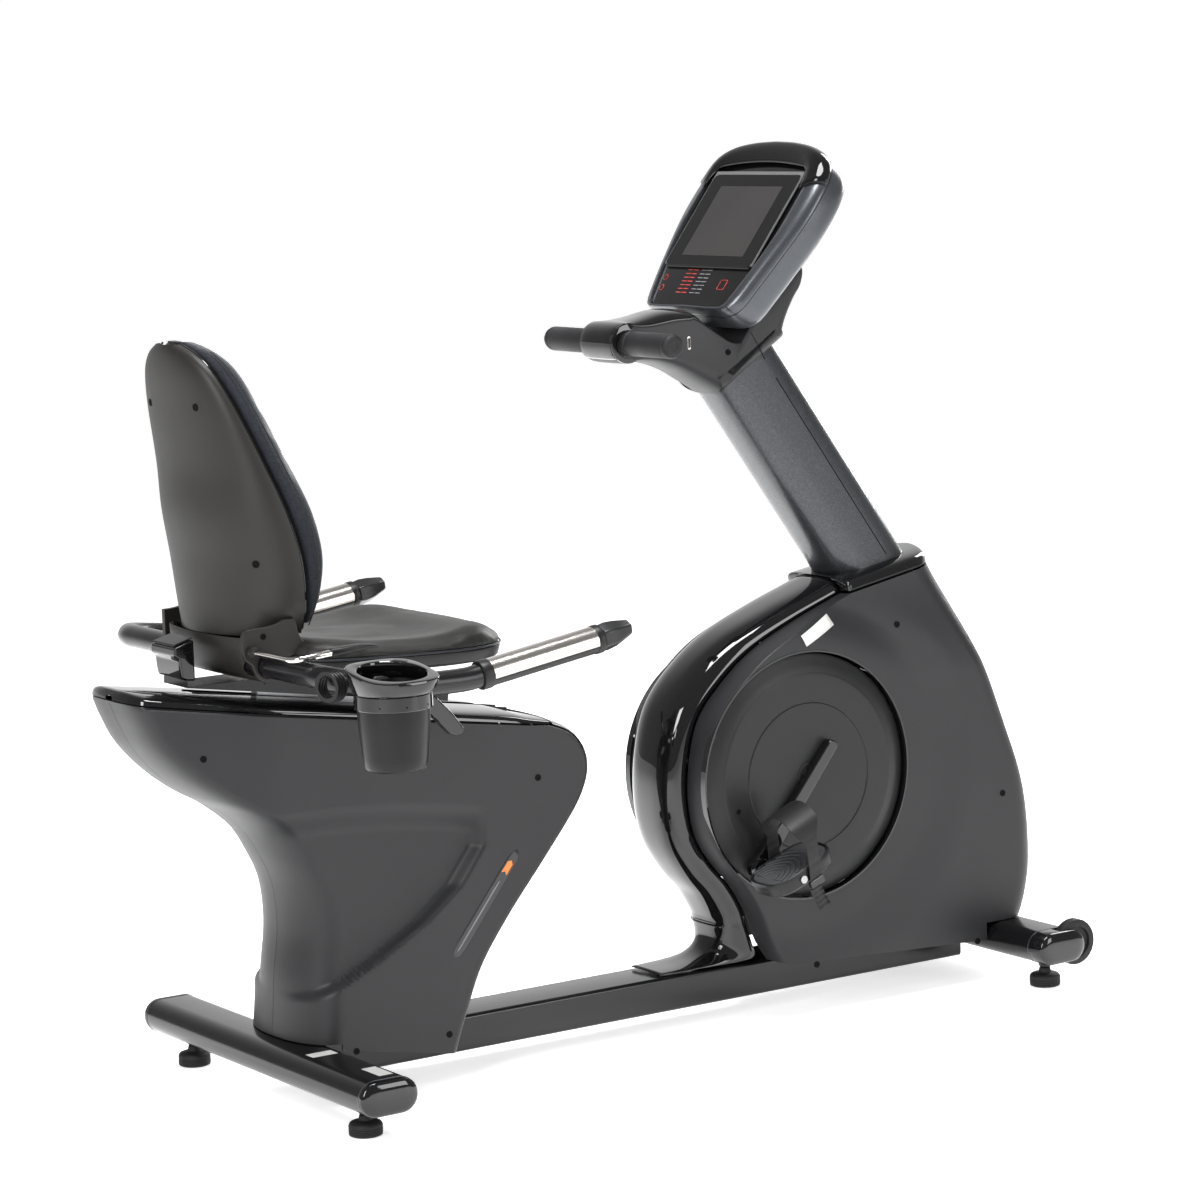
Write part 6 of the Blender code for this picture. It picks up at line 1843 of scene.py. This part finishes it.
HANDLE_X, HANDLE_Z, HANDLE_Y, HANDLE_RADIUS = -0.056, 0.650, 0.342, 0.0165
GRIP_START, GRIP_END = Vector((0.165, HANDLE_Y, 0.634)), Vector((0.350, HANDLE_Y, 0.662))


def sheath(start, end, radius, first, last):
    """Rows of a part cylinder round the line from start to end, between two angles."""
    ends, turns = 24, 40
    along = (end - start).normalized()
    up = Vector((-along.z, 0.0, along.x))
    rows = []
    for i in range(ends + 1):
        middle = start.lerp(end, i / ends)
        row = []
        for k in range(turns + 1):
            angle = math.radians(first + (last - first) * k / turns)
            row.append(middle + Vector((0, 1, 0)) * radius * math.cos(angle)
                       + up * radius * math.sin(angle))
        rows.append(row)
    return rows


def handlebar():
    """The bent tube under the seat, with a pulse grip and a faceted cap on each side."""
    half = [
        Vector((HANDLE_X, 0.10, HANDLE_Z)), Vector((HANDLE_X, 0.24, HANDLE_Z)),
        Vector((HANDLE_X + 0.004, 0.290, HANDLE_Z - 0.001)),
        Vector((HANDLE_X + 0.026, 0.328, HANDLE_Z - 0.005)),
        Vector((HANDLE_X + 0.066, HANDLE_Y, HANDLE_Z - 0.011)),
        Vector((0.070, HANDLE_Y, 0.632)), Vector((0.130, HANDLE_Y, 0.6305)),
        GRIP_START, GRIP_START.lerp(GRIP_END, 0.5), GRIP_END,
    ]
    control = [Vector((p.x, -p.y, p.z)) for p in reversed(half)] + half
    tube("seat_handlebar", spline(control, 260), HANDLE_RADIUS, BAR_PAINT, "seat",
         "seat_handlebar", 40)
    along = (GRIP_END - GRIP_START).normalized()
    up = Vector((-along.z, 0.0, along.x))
    for word, side in SIDES:
        def on(point):
            return Vector((point.x, side * point.y, point.z))

        start, end = on(GRIP_START), on(GRIP_END)
        start += along * 0.006
        steel = sheath(start, end, 0.0197, -20, 200)
        skin(f"pulse_grip_{word}", steel, STAINLESS, "seat", (0, 0, 1), f"pulse_grip_{word}",
             0.0014, 0.0004)
        under = sheath(start, end, 0.0192, 200, 340)
        skin(f"grip_body_{word}", under, BLACK_MOULDED, "seat", (0, 0, -1), (), 0.0020, 0.0003)
        for tag, angle in (("outer", -21.5), ("inner", 201.5)):
            way = (Vector((0, 1, 0)) * math.cos(math.radians(angle))
                   + up * math.sin(math.radians(angle)))
            path = [start.lerp(end, i / 12) + way * 0.0188 for i in range(13)]
            tube(f"grip_line_{tag}_{word}", path, 0.0011, DARK_HOLE, "seat", sides=8)
        collar = [
            (HANDLE_RADIUS - 0.001, 0.0165), (0.0190, 0.0165), (0.0205, 0.0155), (0.0208, 0.0135),
            (0.0208, 0.0030), (0.0204, 0.0010), (0.0190, 0.0), (HANDLE_RADIUS - 0.001, 0.0),
        ]
        turned(f"grip_collar_{word}", collar, start - along * 0.012, along, BLACK_MOULDED, "seat")
        neck = [
            (0.0, 0.0110), (0.0194, 0.0110), (0.0203, 0.0100), (0.0205, 0.0080), (0.0205, 0.0015),
            (0.0198, 0.0), (0.0, 0.0),
        ]
        turned(f"cap_ring_{word}", neck, end - along * 0.0040, along, BLACK_MOULDED, "seat")
        rings = []
        steps = (
            (0.0075, 0.0196, 0.0), (0.0180, 0.0208, 0.0), (0.0330, 0.0190, 0.0004),
            (0.0550, 0.0128, 0.0022), (0.0585, 0.0108, 0.0026),
        )
        for step, radius, lift in steps:
            centre = end + along * step + up * lift
            ring = []
            for k in range(6):
                angle = math.radians(60 * k + 30)
                ring.append(centre + Vector((0, 1, 0)) * radius * 1.03 * math.cos(angle)
                            + up * radius * math.sin(angle))
            rings.append(ring)
        cap = loft(f"handle_cap_{word}", rings, HANDLE_CAP, "seat", (), 20.0)
        rounded(cap, 0.0026, 4, 15.0)


def cup_holder():
    """A matte cup in a gloss collar, held on the tube by two ribbed clamps."""
    base = CUP - Vector((0, 0, 0.132))
    cup = [
        (0.0, 0.0130), (0.0340, 0.0130), (0.0392, 0.0150), (0.0410, 0.0200), (0.0455, 0.0860),
        (0.0475, 0.1200), (0.0490, 0.1200), (0.0490, 0.0960), (0.0485, 0.0700),
        (0.0475, 0.0550), (0.0440, 0.0180), (0.0430, 0.0080), (0.0405, 0.0030), (0.0370, 0.0008),
        (0.0330, 0.0), (0.0, 0.0),
    ]
    turned("cup_holder", cup, base, (0, 0, 1), CUP_BLACK, "seat", "cup_holder", 96, 28.0)
    band = [
        (0.0490, 0.0840), (0.0518, 0.0840), (0.0526, 0.0850), (0.0526, 0.1030), (0.0515, 0.1042),
        (0.0490, 0.1042),
    ]
    turned("cup_band", band, base, (0, 0, 1), GLOSS, "seat", (), 96, 28.0)
    for i, turn in enumerate((-100, -140, -60)):
        way = Vector((math.cos(math.radians(turn)), math.sin(math.radians(turn)), 0.0))
        at = base + way * 0.0525 + Vector((0, 0, 0.0905))
        piece(f"cup_pin_{i}", rod_mesh(0.0012, 0.0008, at, way, 16), DARK_HOLE, "seat")
    tip = math.sin(math.radians(9.0))

    def ring(size, power, height, tilt):
        found = []
        for c, s in round_steps(96):
            x, y = size * signed_power(c, power), size * signed_power(s, power)
            found.append(base + Vector((x, y, height + tilt * (y * tip))))
        return found

    outer = [
        ring(0.0505, 0.98, 0.1030, 0.0), ring(0.0515, 0.92, 0.1050, 0.1),
        ring(0.0530, 0.84, 0.1090, 0.4), ring(0.0552, 0.74, 0.1180, 0.8),
        ring(0.0562, 0.66, 0.1275, 1.0), ring(0.0560, 0.62, 0.1308, 1.0),
        ring(0.0552, 0.62, 0.1322, 1.0), ring(0.0540, 0.64, 0.1326, 1.0),
        ring(0.0480, 0.96, 0.1322, 1.0), ring(0.0470, 1.0, 0.1312, 1.0),
        ring(0.0466, 1.0, 0.1290, 1.0), ring(0.0462, 1.0, 0.1150, 0.3),
    ]
    collar = piece("cup_collar", loft_mesh(outer, (False, False)), GLOSS, "seat", (), 28.0)
    walled(collar, 0.0012)
    for i, x in enumerate((CUP.x - 0.047, CUP.x + 0.058)):
        ribs = []
        for k in range(4):
            centre = Vector((x + (k - 1.5) * 0.0042, -HANDLE_Y, 0.0))
            centre.z = 0.6345 if i else 0.6440
            if not i:
                centre.y = -HANDLE_Y + 0.006
            ribs.append(turned_mesh(
                [(HANDLE_RADIUS - 0.001, 0.0012), (HANDLE_RADIUS + 0.0042, 0.0012),
                 (HANDLE_RADIUS + 0.0048, 0.0), (HANDLE_RADIUS + 0.0042, -0.0012),
                 (HANDLE_RADIUS - 0.001, -0.0012)],
                centre, (1, 0.35 if not i else 0, 0), 48))
        merged(f"cup_clamp_{i}", ribs, BLACK_MOULDED, "seat")
    block("cup_arm", (0.050, 0.040, 0.030), (CUP.x + 0.020, CUP.y + 0.062, CUP.z - 0.026),
          BLACK_MOULDED, "seat", 0.006)


RECLINE_LEVER, SLIDE_LEVER = Vector((-0.082, -0.150, 0.672)), Vector((0.120, -0.160, 0.604))


def levers():
    x, y, z = RECLINE_LEVER
    path = spline(
        (
            (x, y + 0.004, z), (x, y - 0.040, z), (x, y - 0.090, z),
            (x + 0.003, y - 0.105, z + 0.0005), (x + 0.012, y - 0.1135, z + 0.0015),
            (x + 0.028, y - 0.1150, z + 0.003), (x + 0.066, y - 0.1150, z + 0.006),
        ),
        70,
    )
    tube("recline_rod", path, 0.0045, CHROME, "recline_lever", "recline_lever", 24)
    rings = []
    sections = (
        (0.056, 0.0052, 0.0052, 0.0062), (0.064, 0.0078, 0.0056, 0.0068),
        (0.080, 0.0090, 0.0052, 0.0080), (0.100, 0.0084, 0.0042, 0.0092),
        (0.116, 0.0066, 0.0030, 0.0088), (0.126, 0.0042, 0.0022, 0.0076),
        (0.130, 0.0016, 0.0012, 0.0070),
    )
    for step, wide, tall, lift in sections:
        ring = []
        for c, s in round_steps(28):
            ring.append(Vector((
                x + step, y - 0.115 + wide * signed_power(c, 0.8),
                z + lift + tall * signed_power(s, 0.8))))
        rings.append(ring)
    loft("recline_paddle", rings, BLACK_MOULDED, "recline_lever")
    x, y, z = SLIDE_LEVER
    outline = [
        (x - 0.014, z + 0.010), (x - 0.014, z - 0.010), (x + 0.020, z - 0.0160),
        (x + 0.050, z - 0.034), (x + 0.074, z - 0.058), (x + 0.094, z - 0.080),
        (x + 0.103, z - 0.0830), (x + 0.112, z - 0.0825), (x + 0.119, z - 0.0760),
        (x + 0.100, z - 0.050), (x + 0.072, z - 0.022), (x + 0.040, z - 0.002),
        (x + 0.014, z + 0.010),
    ]
    plate("slide_lever", outline, y - 0.0095, y + 0.0060, GLOSS, "slide_lever", 0.0030,
          "slide_lever")


def seat_carriage():
    """The carriage over the deck, its stem through the slot, and the gloss tail behind it."""
    def on_deck(s, n):
        place = DECK + SLIDE * s + SLIDE_UP * n
        return (place.x, place.z)

    outline = [
        (-0.128, 0.6280), on_deck(-0.235, 0.022), on_deck(0.19, 0.022), on_deck(0.19, 0.036),
        (0.230, 0.6165), (-0.128, 0.6165),
    ]
    plate("carriage_body", outline, -0.036, 0.036, FRAME_PAINT, "seat", 0.002, "seat_carriage")
    tail = [
        (-0.1460, 0.6730), (-0.1462, 0.6610), (-0.1400, 0.6560), (-0.1390, 0.6425),
        (-0.1370, 0.6290), (-0.1290, 0.6255), (-0.1150, 0.6240), (-0.1150, 0.6820),
        (-0.1220, 0.6810),
    ]
    plate("carriage_tail", tail, -0.037, 0.037, GLOSS, "seat", 0.0035)
    lid = [(-0.1445, 0.6745), (-0.1155, 0.6835), (-0.1155, 0.6850), (-0.1300, 0.6815),
           (-0.1440, 0.6775)]
    plate("carriage_lid", lid, -0.032, 0.032, BLACK_MOULDED, "seat", 0.0008)
    for word, side in SIDES:
        slit = [
            Vector((-0.1340 + 0.0160 * i / 8, side * 0.0373, 0.6640 + 0.0030 * i / 8))
            for i in range(9)
        ]
        tube(f"tail_slit_{word}", slit, 0.0011, DARK_HOLE, "seat", sides=8)
    block("carriage_stem", (0.22, 0.018, 0.046), DECK + SLIDE_UP * 0.001, STEEL, "seat", 0.001,
          SLIDE_TILT)


FABRIC_SEAM = rubbery("fabric_seam", (0.006, 0.006, 0.007), 0.6)
HANDLE_CAP = moulded("handle_cap", (0.012, 0.012, 0.013), 0.30, 0.00003)


# ---------------------------------------------------------------- everything
stage()
camera()
base_frame()
rear_housing()
front_housing()
mast()
for word, side in SIDES:
    crank_side(word, side)
inner_pieces()
console()
neck_cover()
seat_carriage()
seat_pieces()
backrest()
backrest_foot()
handlebar()
cup_holder()
levers()
